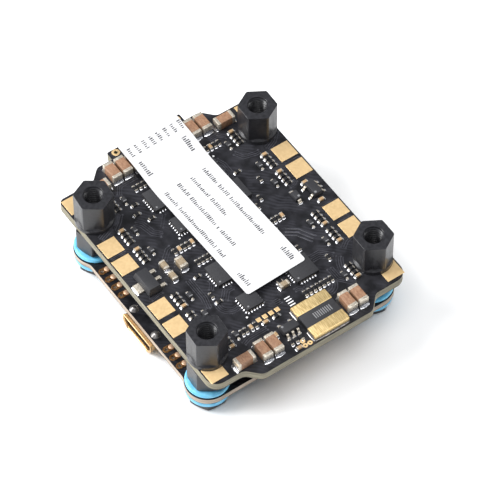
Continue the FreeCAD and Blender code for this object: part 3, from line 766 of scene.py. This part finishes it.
def track(path, width, level, lift):
    """A flat-topped ribbon with sloping sides; lift is +1 above a board and -1 below it."""
    foot = width / 2
    top = foot * TRACK_SHARE
    height = TRACK_H * lift
    section = [(-foot, -0.02 * lift), (foot, -0.02 * lift), (top, height), (-top, height)]
    return sweep([(x, y, level) for x, y in path], section, (0, 0, 1))


def via(x, y, level, lift):
    """A small plated hole, closed by mask: a ring with a dimple."""
    profile = [(0.19, -0.02), (0.17, 0.022), (0.11, 0.024), (0.07, 0.0), (0.02, -0.005)]
    shape = lathe([(r, z * lift) for r, z in profile], 16)
    return shifted(shape, x, y, level)


def tracks(bundles, level, lift):
    """All bundles' tracks, with a via at both ends of every second one."""
    shapes = []
    for path, count, pitch, width in bundles:
        for k in range(count):
            line = beside(path, (k - (count - 1) / 2) * pitch)
            shapes.append(track(line, width, level, lift))
            for end in (line[0], line[-1]):
                if k % 2 == 0:
                    shapes.append(via(*end, level, lift))
    return joined(shapes)


def legend():
    """Plain white bars on the board and on the shunt's coating, where a code would be printed."""
    on_board = [shifted(slab(1.0, 0.2, 0.02, 0.008), 0.4, -13.7 - 0.5 * k, PCB_TOP) for k in range(5)]
    piece("board_legend", joined(on_board), SILK, STACK)
    shunt_box = box("esc_shunt_resistor")
    x, y = shunt_box.centre.x, shunt_box.centre.y
    on_shunt = [
        shifted(slab(0.17, 1.1, 0.02, 0.008), x + 0.5 + BAR_STEP * k, y, shunt_box.high.z - SHUNT_DIP)
        for k in range(-4, 5)
    ]
    piece("shunt_legend", joined(on_shunt), BAND, STACK)


def pin_one_dots():
    """White dots printed beside the square chips."""
    spots = [(-6.65, 4.75), (-6.6, -13.2), (6.6, 14.85), (6.6, -2.2)]
    dot = lathe([(0.17, -0.01), (0.17, 0.012), (0.14, 0.02), (0.01, 0.022)], 20)
    shapes = [shifted(dot, x, y, PCB_TOP) for x, y in spots]
    piece("pin_one_dots", joined(shapes), SILK, STACK)


# -------- packages, standing on z = 0
def end_solder(half, width, height, length=0.3):
    """Fillets at both ends of a part that reaches to x = half."""
    foot = fillet(width * 1.06, length, height)
    return joined([shifted(foot, half), shifted(foot, -half, turn=180)])


def end_caps(length, width, height, cap, proud=0.015):
    shape = slab(cap, width + 2 * proud, height + proud, 0.07, 0.06)
    at = length / 2 - cap / 2 + 0.01
    return joined([shifted(shape, at), shifted(shape, -at)])


def chip_resistor(length, width, height):
    body = slab(length - 0.3, width - 0.02, height - 0.02, 0.025, 0.03)
    glass = slab(length * 0.56, width - 0.06, 0.04, 0.018, 0.06, height - 0.045)
    return {
        "glass": joined([body, glass]),
        "ends": end_caps(length, width - 0.02, height - 0.03, 0.2 * length),
        "solder": end_solder(length / 2, width, height * 0.8, 0.3),
    }


def chip_capacitor(length, width, height):
    share = 0.24 if length < 2.5 else 0.18
    edge = 0.05 if length < 1.2 else 0.1
    return {
        "body": slab(length - 0.1, width - 0.02, height - 0.02, edge, edge),
        "ends": end_caps(length, width - 0.02, height - 0.03, share * length),
        "solder": end_solder(
            length / 2, width, min(0.75, height * 0.6), min(0.42, 0.2 + 0.14 * height),
        ),
    }


def small_diode(length, width, height):
    lead = sweep([(0, 0, 0.12), (0.24, 0, 0.12), (0.34, 0, 0.07), (0.5, 0, 0.07)],
                 [(-0.06, -0.17), (0.06, -0.17), (0.06, 0.17), (-0.06, 0.17)], (0, 1, 0))
    at = length / 2 - 0.42
    band = slab(0.16, width * 0.72, 0.02, 0.008, 0.02, height - 0.01)
    return {
        "body": moulding(length - 0.5, width, height, height * 0.4, 0.07),
        "band": shifted(band, -0.3),
        "ends": joined([shifted(lead, at), shifted(lead, -at, turn=180)]),
        "solder": end_solder(length / 2 - 0.1, width * 0.6, 0.2, 0.3),
    }


def pin_row(pitch, count, corner=0.0):
    """Where the pins along one side lie; corner adds one at each end, that far from the middle."""
    spots = [(k - (count - 1) / 2) * pitch for k in range(count)]
    return spots + ([-corner, corner] if corner else [])


def on_side(turn, reach, spot):
    """To a place that far out on the side that faces turn degrees, and that far along it."""
    return Matrix.Rotation(math.radians(turn), 4, "Z") @ Matrix.Translation((reach, spot, 0))


def round_mark(radius, height, x, y):
    """A shallow round mark on a package's top, as beside pin one."""
    profile = [(radius, height - 0.03), (radius, height + 0.003), (radius - 0.04, height + 0.008)]
    return shifted(lathe(profile + [(0.02, height + 0.008)], 20), x, y)


def leadless(spots):
    """A sawn square package: pins show at its foot, with solder drawn out on the pads."""

    def package(length, width, height):
        pins, fillets = [], []
        for turn in (0, 90, 180, 270):
            for spot in spots:
                pins.append(moved(slab(0.12, 0.24, 0.22, 0.02), on_side(turn, length / 2 - 0.04, spot)))
                fillets.append(moved(fillet(0.26, 0.36, 0.2), on_side(turn, length / 2 + 0.01, spot)))
        body = slab(length, width, height - 0.02, 0.03, 0.04, 0.02)
        mark = round_mark(0.16, height, 0.5 - length / 2, 0.5 - length / 2)
        return {"body": body, "mark": mark, "pins": joined(pins), "solder": joined(fillets)}

    return package


def power_transistor(length, width, height):
    """A flat power package with four pins on each of two sides."""
    pins, fillets = [], []
    for turn in (0, 180):
        for spot in pin_row(0.65, 4):
            pins.append(moved(slab(0.3, 0.36, 0.2, 0.02), on_side(turn, length / 2 - 0.08, spot)))
            fillets.append(moved(fillet(0.4, 0.3, 0.16), on_side(turn, length / 2 + 0.06, spot)))
    body = slab(length - 0.16, width, height - 0.02, 0.03, 0.04, 0.02)
    mark = round_mark(0.22, height, 0.6 - length / 2, 0.6 - width / 2)
    return {"body": body, "mark": mark, "pins": joined(pins), "solder": joined(fillets)}


def gull_lead(exit_z, reach, width, thick=0.13):
    """From the body's side at x = 0, out, down and along the board."""
    half = thick / 2
    path = [
        (-0.15, exit_z), (reach * 0.18, exit_z), (reach * 0.34, exit_z - 0.06),
        (reach * 0.44, exit_z * 0.5), (reach * 0.54, half + 0.06), (reach * 0.7, half), (reach, half),
    ]
    section = [(-half, -width / 2), (half, -width / 2), (half, width / 2), (-half, width / 2)]
    return sweep([(x, 0, z) for x, z in path], section, (0, 1, 0))


BODY_GAP = 0.08        # a package on bent leads stands this far off its board


def leaded(body_x, body_y, rows, lead_width, reach):
    """A moulded package on bent leads; rows maps a side's direction to (count, pitch)."""

    def package(length, width, height):
        leads, fillets = [], []
        for turn, (count, pitch) in rows.items():
            edge = (body_x if turn % 180 == 0 else body_y) / 2
            for spot in pin_row(pitch, count):
                lead = gull_lead(0.5 * height, reach, lead_width)
                leads.append(moved(lead, on_side(turn, edge, spot)))
                toe = on_side(turn, edge + reach - 0.02, spot)
                fillets.append(moved(fillet(lead_width * 1.2, 0.24, 0.14), toe))
        body = moulding(body_x, body_y, height - BODY_GAP, 0.46 * height, 0.1)
        return {
            "body": shifted(body, z=BODY_GAP),
            "mark": round_mark(0.2, height, 0.42 - body_x / 2, 0.42 - body_y / 2),
            "leads": joined(leads),
            "solder": joined(fillets),
        }

    return package


def small_outline(right, left):
    """The common 2.9 mm package, with so many leads on its two sides; they span 1.9 mm."""
    rows = {0: (right, 1.9 / (right - 1)), 180: (left, 1.9 / (left - 1))}
    return leaded(1.6, 2.9, rows, 0.38, 0.65)


def dual_row(body_x, body_y, count, pitch, lead_width, reach):
    """A leaded package with the same row on two opposite sides."""
    return leaded(body_x, body_y, {0: (count, pitch), 180: (count, pitch)}, lead_width, reach)


def tab_package(length, width, height):
    """A wide tab at -X, three leads at +X."""
    solder = [shifted(fillet(1.8, 0.32, 0.22), -2.3, turn=180)]
    metal = [shifted(slab(1.2, 1.7, 0.4, 0.04), -1.7)]
    for spot in (-1.5, 0, 1.5):
        metal.append(shifted(slab(1.1, 0.48, 0.4, 0.04), 1.66, spot))
        solder.append(shifted(fillet(0.6, 0.3, 0.24), 2.15, spot))
    body = moulding(2.5, 4.5, height, 0.4, 0.3, 0.06)
    return {"body": body, "leads": joined(metal), "solder": joined(solder)}


def metal_can(length, width, height):
    """A lid on a flat base."""
    base = slab(length, width, height * 0.35, 0.03, 0.15)
    lid = slab(length - 0.2, width - 0.2, height, 0.08, 0.35)
    return {"body": joined([base, lid])}


def inductor(length, width, height):
    """A pressed block with a soft top and two terminals."""
    ends = [shifted(slab(0.5, width * 0.5, 0.5, 0.05), s * (length / 2 - 0.24)) for s in (-1, 1)]
    return {
        "body": slab(length, width, height, 0.18, 0.45),
        "ends": joined(ends),
        "solder": end_solder(length / 2, width * 0.5, 0.4, 0.35),
    }


def status_led(length, width, height):
    """A lens on a flat base of the same colour, with plated ends."""
    base = slab(length, width, height * 0.4, 0.02)
    lens = slab(length * 0.62, width * 0.92, height, 0.06)
    return {
        "body": joined([base, lens]),
        "ends": end_caps(length, width, height * 0.4, 0.3),
        "solder": end_solder(length / 2, width, height * 0.4, 0.26),
    }


CHIP = (EPOXY, "chip_package")
CHIP_MARK = (BAND, "chip_package")
RESISTOR_FINISH = {"glass": (GLASS_BLACK, None), "ends": IN_TIN, "solder": IN_SOLDER}
DIODE_FINISH = {"body": CHIP, "band": CHIP_MARK, "ends": IN_TIN, "solder": IN_SOLDER}
TAB_FINISH = {"body": CHIP, "leads": IN_TIN, "solder": IN_SOLDER}
LEADED_FINISH = {"body": CHIP, "mark": CHIP_MARK, "leads": IN_TIN, "solder": IN_SOLDER}
LEADLESS_FINISH = {"body": CHIP, "mark": CHIP_MARK, "pins": IN_TIN, "solder": IN_SOLDER}


def block_finish(material):
    """For a block of one material with metal ends."""
    return {"body": (material, None), "ends": IN_TIN, "solder": IN_SOLDER}


def shunt():
    """Thick brass ends joined under a black coating, soldered down along both edges."""
    node = "esc_shunt_resistor"
    thing = box(node)
    x, y = thing.centre.x, thing.centre.y
    dx, dy, dz = thing.size
    bar = 1.98
    at = dy / 2 - bar / 2
    bars = [shifted(slab(dx, bar, dz, 0.09, 0.1), x, y + s * at, thing.low.z) for s in (-1, 1)]
    piece("shunt_bars", joined(bars), BRASS, STACK, [node])
    coat = shifted(slab(dx - 0.1, dy - 2 * bar + 0.3, dz - SHUNT_DIP, 0.05, 0.06), x, y, thing.low.z)
    piece("shunt_coating", coat, EPOXY, STACK, [node])
    long_foot = fillet(dx * 0.98, 0.24, 0.2)
    short_foot = fillet(bar * 0.94, 0.24, 0.62)
    feet = []
    for side in (-1, 1):
        feet.append(shifted(long_foot, x, y + side * dy / 2, thing.low.z, turn=90 * side))
        for end, turn in ((-1, 180), (1, 0)):
            feet.append(shifted(short_foot, x + end * dx / 2, y + side * at, thing.low.z, turn=turn))
    piece("shunt_solder", joined(feet), DULL_SOLDER, STACK, [node])


# -------- label
STRIP_CORNER = 0.18    # the turned strip's corners reach this far past its end's middle


def label_sheet():
    """The paper strip, its folds eased into bends."""
    work = welded("esc_label")
    bmesh.ops.dissolve_limit(work, angle_limit=math.radians(0.5), verts=work.verts, edges=work.edges)
    creases = [e for e in work.edges if len(e.link_faces) == 2 and e.calc_length() > 8]
    folds = [e for e in creases if 0.03 < e.calc_face_angle() < 0.6]
    bmesh.ops.bevel(work, geom=folds, offset=1.3, segments=6, profile=0.5, affect="EDGES")
    return as_shape(work)


def strip_frame(sheet):
    """From (across, down the strip), measured from its far end's middle, to X and Y."""
    verts, faces = sheet
    edges = [Vector(verts[f[i - 1]]) - Vector(verts[f[i]]) for f in faces for i in range(len(f))]
    down = max(edges, key=lambda e: e.length)
    down = Vector((down.x, down.y, 0)).normalized() * (-1 if down.y > 0 else 1)
    across = Vector((-down.y, down.x, 0))
    thing = box("esc_label")
    far_end = thing.centre - down * (thing.size.y / 2 - STRIP_CORNER)
    return Matrix((
        (across.x, down.x, 0, far_end.x),
        (across.y, down.y, 0, far_end.y),
        (0, 0, 1, 0),
        (0, 0, 0, 1),
    ))


def word(x, y, count, tall=0.7):
    """A word-like row of fine bars (across, down, tall, wide) that runs down the strip."""
    bars = []
    for k in range(count):
        size = tall * rng.choice((0.62, 0.75, 1.0, 1.0))
        bars.append((x - (tall - size) / 2, y + k * BAR_STEP, size, rng.choice(BAR_WIDTHS)))
    return bars


BAR_WIDTHS = (0.13, 0.16, 0.2)
WORD_GAP = 0.45        # more than a bar's pitch, between two words
FAR_ROW = (-4.45, 3.0)  # the first word of the row at the far end
FAR_PITCH = 1.36
# Across the strip, down to the first word, and the bars in each word
LABEL_LINES = [
    (-4.1, 12.5, (9, 26, 5)),
    (-1.55, 12.3, (8, 18, 1, 10)),
    (0.85, 12.5, (13, 11)),
    (3.35, 12.2, (10, 7, 24)),
]
CORNER_WORDS = [(-4.15, 6.0), (4.05, 6.0), (-4.15, 31.4), (4.05, 31.4)]


def label_marks():
    """Plain bars where print would be: four lines, four corner words and a row at the far end."""
    marks = []
    for x, y, words in LABEL_LINES:
        for count in words:
            marks += word(x, y, count)
            y += count * BAR_STEP + WORD_GAP
    for x, y in CORNER_WORDS:
        marks += word(x, y, 8, 0.9)
    for k in range(8):
        marks += word(FAR_ROW[0] + FAR_PITCH * k, FAR_ROW[1], 5, 0.6)
    return marks


def label():
    sheet = label_sheet()
    piece("label_sheet", sheet, PAPER, STACK, ["esc_label"], sharp=30)
    surface = BVHTree.FromPolygons([Vector(v) for v in sheet[0]], sheet[1])
    to_stack = strip_frame(sheet)
    bars = []
    for x, y, tall, wide in label_marks():
        low, high = [], []
        for sx, sy in ((-1, -1), (1, -1), (1, 1), (-1, 1)):
            spot = to_stack @ Vector((x + sx * tall / 2, y + sy * wide / 2, 10))
            hit = surface.ray_cast(spot, Vector((0, 0, -1)))[0]
            low.append((hit.x, hit.y, hit.z - 0.01))
            high.append((hit.x, hit.y, hit.z + 0.02))
        bars.append(loft([low, high]))
    piece("label_print", joined(bars), INK, STACK, ["esc_label"])


# -------- socket and connectors
def usb_outline(width, height, taper, x, top, y):
    """A ring across X: a box with its two far corners cut, all corners eased."""
    half = width / 2
    corners = [
        Vector(c) for c in (
            (-half, 0), (-half, taper - height), (taper - half, -height),
            (half - taper, -height), (half, taper - height), (half, 0),
        )
    ]
    points = []
    for i, corner in enumerate(corners):
        back = (corners[i - 1] - corner).normalized() * 0.24
        ahead = (corners[(i + 1) % 6] - corner).normalized() * 0.24
        points += [corner + back, corner + 0.28 * (back + ahead), corner + ahead]
    return [(x, y + p.x, top + p.y) for p in points]


USB_WIDTH = 7.5
USB_WALL = 0.3
USB_DEPTH = 5.0
USB_LEG_X = -17.05
USB_LEG_SPREAD = 5.9


def usb_socket():
    """A pressed shell with a flared lip, its tongue and contacts, and two soldered legs."""
    node = "usb_shell"
    thing = box(node)
    y = thing.centre.y
    mouth, back = thing.low.x, thing.low.x + USB_DEPTH
    height = FC_LOW - thing.low.z

    def at(x, grow, taper):
        return usb_outline(USB_WIDTH + 2 * grow, height + 2 * grow, taper, x, FC_LOW + grow, y)

    rings = [
        at(back, -0.03, 0.95), at(mouth + 0.45, -0.03, 0.95), at(mouth + 0.2, 0.03, 0.97),
        at(mouth + 0.05, 0.08, 0.98), at(mouth, 0.04, 0.97), at(mouth, -0.1, 0.95),
        at(mouth + 0.12, -0.24, 0.9), at(mouth + 0.4, -USB_WALL, 0.85),
        at(back - USB_WALL, -USB_WALL, 0.85),
    ]
    piece("usb_shell_pressed", loft(rings), SHELL_GOLD, FC, [node], 32)
    # Painted shade: a thin dark brown sheet just inside the shell's walls, from near the mouth to the
    # back, darkens the inside where it lies in shade
    inner = USB_WALL + 0.01
    shade_rings = [
        at(mouth + 0.34, -inner, 0.85), at(back - inner - 0.1, -inner, 0.85),
        at(back - inner - 0.1, -inner - 0.06, 0.83), at(mouth + 0.34, -inner - 0.06, 0.83),
    ]
    piece("usb_painted_shade", loft(shade_rings, closed=True), SHELL_SHADE, FC, [node], 32)
    dress("usb_tongue", GLASS_BLACK, 0.06)
    dress("usb_contacts", GOLD, 0.02)
    dome = [
        (0.78, -0.01), (0.74, 0.05), (0.55, 0.2), (0.4, 0.34), (0.32, 0.42), (0.12, 0.46), (0.02, 0.46),
    ]
    legs = []
    for side in (-1, 1):
        for level, lift in ((FC_TOP, 1), (FC_LOW, -1)):
            shape = lathe([(r, z * lift) for r, z in dome], 28)
            legs.append(shifted(shape, USB_LEG_X, y + side * USB_LEG_SPREAD / 2, level))
    piece("usb_leg_solder", joined(legs), DULL_SOLDER, FC, [node])


def pad_beads():
    """A bright bead on the inner end of each of the flight controller's upper edge pads: a small dome
    whose pale colour is partly painted highlight, for the lit dot there.
    """
    bead = lathe([(0.47, -0.01), (0.44, 0.05), (0.3, 0.1), (0.02, 0.12)], 20)
    shapes = []
    for pad in boxes("fc_edge_pads"):
        if pad.centre.z > FC_LOW:
            side = math.copysign(1, pad.centre.x)
            inset = (pad.size.x - pad.size.y) / 2
            shapes.append(shifted(bead, pad.centre.x - side * inset, pad.centre.y, pad.high.z))
    piece("fc_pad_beads", joined(shapes), ROSE_GOLD, FC)


def connector(width, depth, height):
    """A side-entry housing that opens towards +Y, on z = 0."""
    wall = 0.5
    parts = [
        shifted(slab(width, depth, 0.45, 0.06)),
        shifted(slab(width, depth - 0.1, 0.5, 0.06), 0, -0.05, height - 0.5),
        shifted(slab(width, 0.56, height, 0.06), 0, -depth / 2 + 0.28),
    ]
    for sign in (-1, 1):
        parts.append(shifted(slab(wall, depth, height, 0.06), sign * (width / 2 - wall / 2)))
        rib = slab(0.24, depth * 0.66, 0.26, 0.04)
        parts.append(shifted(rib, sign * (width / 2 - 0.8), 0.2, height - 0.72))
        parts.append(shifted(slab(0.2, 1.3, height * 0.7, 0.04), sign * (width / 2 + 0.02), -0.9, 0.1))
    return joined(parts)


def connector_housing(node, turn):
    """Replaces a connector's housing; turn is how far it faces round from +Y."""
    thing = box(node)
    shape = connector(max(thing.size.xy), min(thing.size.xy), thing.size.z)
    body = NODES[node]["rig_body"]
    piece(f"{node}_housing", moved(shape, seat(thing, turn)), IVORY, body, [node])


def boot_button():
    """A pressed cover with a round hole in its lower face, and the plunger in it."""
    node = "boot_button_case"
    thing = box(node)
    plunger = box("boot_button_plunger")
    x, y = thing.centre.x, thing.centre.y
    low, high = thing.low.z, thing.high.z
    bore = plunger.size.x / 2 + 0.06
    profile = [(0.0, high), (0.0, low + 0.15), (0.04, low + 0.05), (0.12, low)]
    rings = [
        ring(thing.size.x / 2 - inset, thing.size.y / 2 - inset, 0.3, z, 4) for inset, z in profile
    ]
    count = len(rings[0])
    angles = [TAU * (k + 0.5) / count for k in range(count)]
    for z in (low, low + 0.95):
        rings.append([(bore * math.cos(a), bore * math.sin(a), z) for a in angles])
    piece("boot_button_cover", shifted(loft(rings), x, y), TIN, FC, [node])
    stem = plunger.size.x / 2
    profile = [
        (stem, plunger.high.z), (stem, plunger.low.z + 0.1), (stem - 0.03, plunger.low.z + 0.03),
        (stem - 0.12, plunger.low.z), (stem * 0.5, plunger.low.z), (0.02, plunger.low.z + 0.02),
    ]
    shape = shifted(lathe(profile, 36), plunger.centre.x, plunger.centre.y)
    piece("boot_button_cap", shape, NYLON, "boot_button", ["boot_button_plunger"])


# -------- camera, light and floor
CAMERA_BACK = (-0.33562, -0.48436, 0.80793)  # from the object towards the camera
CAMERA_ROLL = -0.159   # degrees
CAMERA_PLACE = (-0.165758, -0.241114, 0.394674)
CAMERA_LENS = 243.476
FLOOR_HALF = 1.6
# Name, where it stands, size and watts; each lamp is turned to the object
LAMPS = [
    ("key", (-0.35, 0.28, 0.42), 0.32, 4.0),
    ("top", (-0.05, -0.10, 0.6), 0.45, 2.6),
    ("fill", (0.42, -0.12, 0.3), 0.3, 0.8),
    ("side", (-0.42, 0.26, 0.1), 0.25, 1.3),
]


def camera():
    """Looks down on the stack from its -X and -Y sides."""
    back = Vector(CAMERA_BACK).normalized()
    right = Vector((0, 0, 1)).cross(back).normalized()
    roll = math.radians(CAMERA_ROLL)
    leaned = right * math.cos(roll) + back.cross(right) * math.sin(roll)
    turn = Matrix((leaned, back.cross(leaned), back)).transposed().to_4x4()
    made = linked("camera", bpy.data.cameras.new("camera"))
    made.matrix_world = Matrix.Translation(CAMERA_PLACE) @ turn
    made.data.lens = CAMERA_LENS
    made.data.clip_start = 0.01
    bpy.context.scene.camera = made


def studio_light():
    """Four soft lamps in a pale world."""
    world = bpy.data.worlds.new("studio")
    world.use_nodes = True
    background = world.node_tree.nodes["Background"]
    background.inputs["Color"].default_value = (0.93, 0.96, 1.0, 1)
    background.inputs["Strength"].default_value = 0.29
    bpy.context.scene.world = world
    bpy.context.scene.view_settings.view_transform = "Standard"
    for name, spot, size, power in LAMPS:
        light = bpy.data.lights.new(name, "AREA")
        light.energy = power
        light.size = size
        lamp = linked(name, light)
        lamp.location = spot
        lamp.rotation_euler = (-Vector(spot)).to_track_quat("-Z", "Y").to_euler()


def pale_floor():
    """A plain floor under the lowest point."""
    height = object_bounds()[0][2]
    half = FLOOR_HALF
    corners = [(x, y, height) for x, y in ((-half, -half), (half, -half), (half, half), (-half, half))]
    mesh = bpy.data.meshes.new("floor")
    mesh.from_pydata(corners, [], [(0, 1, 2, 3)])
    mesh.materials.append(plain("pale_floor", (250, 250, 250), (248, 248, 248), (0.7, 0.8), 40, 0.001))
    linked("floor", mesh)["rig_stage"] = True


# -------- assembly
camera()
studio_light()
pale_floor()

hardware("top_standoffs", top_standoff)
hardware("middle_standoffs", spacer)
hardware("lock_nuts", lock_nut)
grommets()

circuit_board("esc_board", "esc", LAMINATE)
circuit_board("fc_board", "fc", PALE_LAMINATE)
piece("esc_tracks", tracks(TRACK_BUNDLES, PCB_TOP, 1), COPPER_MASK, STACK)
pin_one_dots()
legend()
for node in ("esc_motor_pads", "esc_signal_pads", "esc_test_pads", "esc_battery_pads"):
    dress(node, GOLD)
# These edge pads get the gold darkened by painted reflection of the board above
dress("fc_edge_pads", SHADED_GOLD)
pad_beads()

populate("esc_small_resistors", chip_resistor, RESISTOR_FINISH)
populate("fc_small_resistors", chip_resistor, RESISTOR_FINISH)
populate("esc_small_capacitors", chip_capacitor, block_finish(TAN))
populate("fc_small_capacitors", chip_capacitor, block_finish(TAN))
populate("esc_filter_capacitors", chip_capacitor, block_finish(GREY_TAN))
populate("esc_bulk_capacitors", chip_capacitor, block_finish(BROWN))
populate("fc_bulk_capacitors", chip_capacitor, block_finish(BROWN))
populate("esc_bootstrap_diodes", small_diode, DIODE_FINISH)
shunt()

populate("esc_voltage_regulator", tab_package, TAB_FINISH, 0)
populate("fc_linear_regulator", tab_package, TAB_FINISH, 90)
populate("esc_switching_regulator", small_outline(3, 2), LEADED_FINISH, 0)
populate("esc_current_amplifier", small_outline(3, 2), LEADED_FINISH, -90)
populate("fc_buck_regulators", small_outline(3, 3), LEADED_FINISH, 0)
populate("esc_protection_diode", dual_row(1.7, 1.25, 1, 0, 0.6, 0.5), LEADED_FINISH, 90)
populate("fc_power_diodes", dual_row(2.7, 1.6, 1, 0, 0.8, 0.55), LEADED_FINISH, 90)
populate("esc_gate_drivers", leadless(pin_row(0.5, 6)), LEADLESS_FINISH)
populate("esc_motor_processors", leadless(pin_row(0.5, 4, 1.3)), LEADLESS_FINISH)
populate("esc_mosfets", power_transistor, LEADLESS_FINISH, 90)
populate("fc_gyroscope", leadless(pin_row(0.5, 5)), LEADLESS_FINISH)
quad_rows = {turn: (16, 0.5) for turn in (0, 90, 180, 270)}
populate("fc_processor", leaded(10.0, 10.0, quad_rows, 0.22, 1.0), LEADED_FINISH, 45)
populate("fc_flash_memory", dual_row(3.9, 4.9, 4, 1.27, 0.42, 1.05), LEADED_FINISH, 0)
populate("fc_osd_chip", dual_row(4.4, 9.7, 14, 0.65, 0.24, 1.0), LEADED_FINISH, 90)
populate("fc_barometer", metal_can, {"body": IN_TIN})
populate("fc_crystals", metal_can, {"body": IN_TIN})
populate("fc_power_inductors", inductor, block_finish(FERRITE))
populate("fc_status_leds", status_led, block_finish(LENS))

usb_socket()
connector_housing("esc_signal_connector", 0)
connector_housing("fc_signal_connector", 0)
connector_housing("fc_device_connector", -90)
dress("esc_connector_contacts", TIN, 0.02)
dress("fc_connector_contacts", TIN, 0.02)
boot_button()
label()
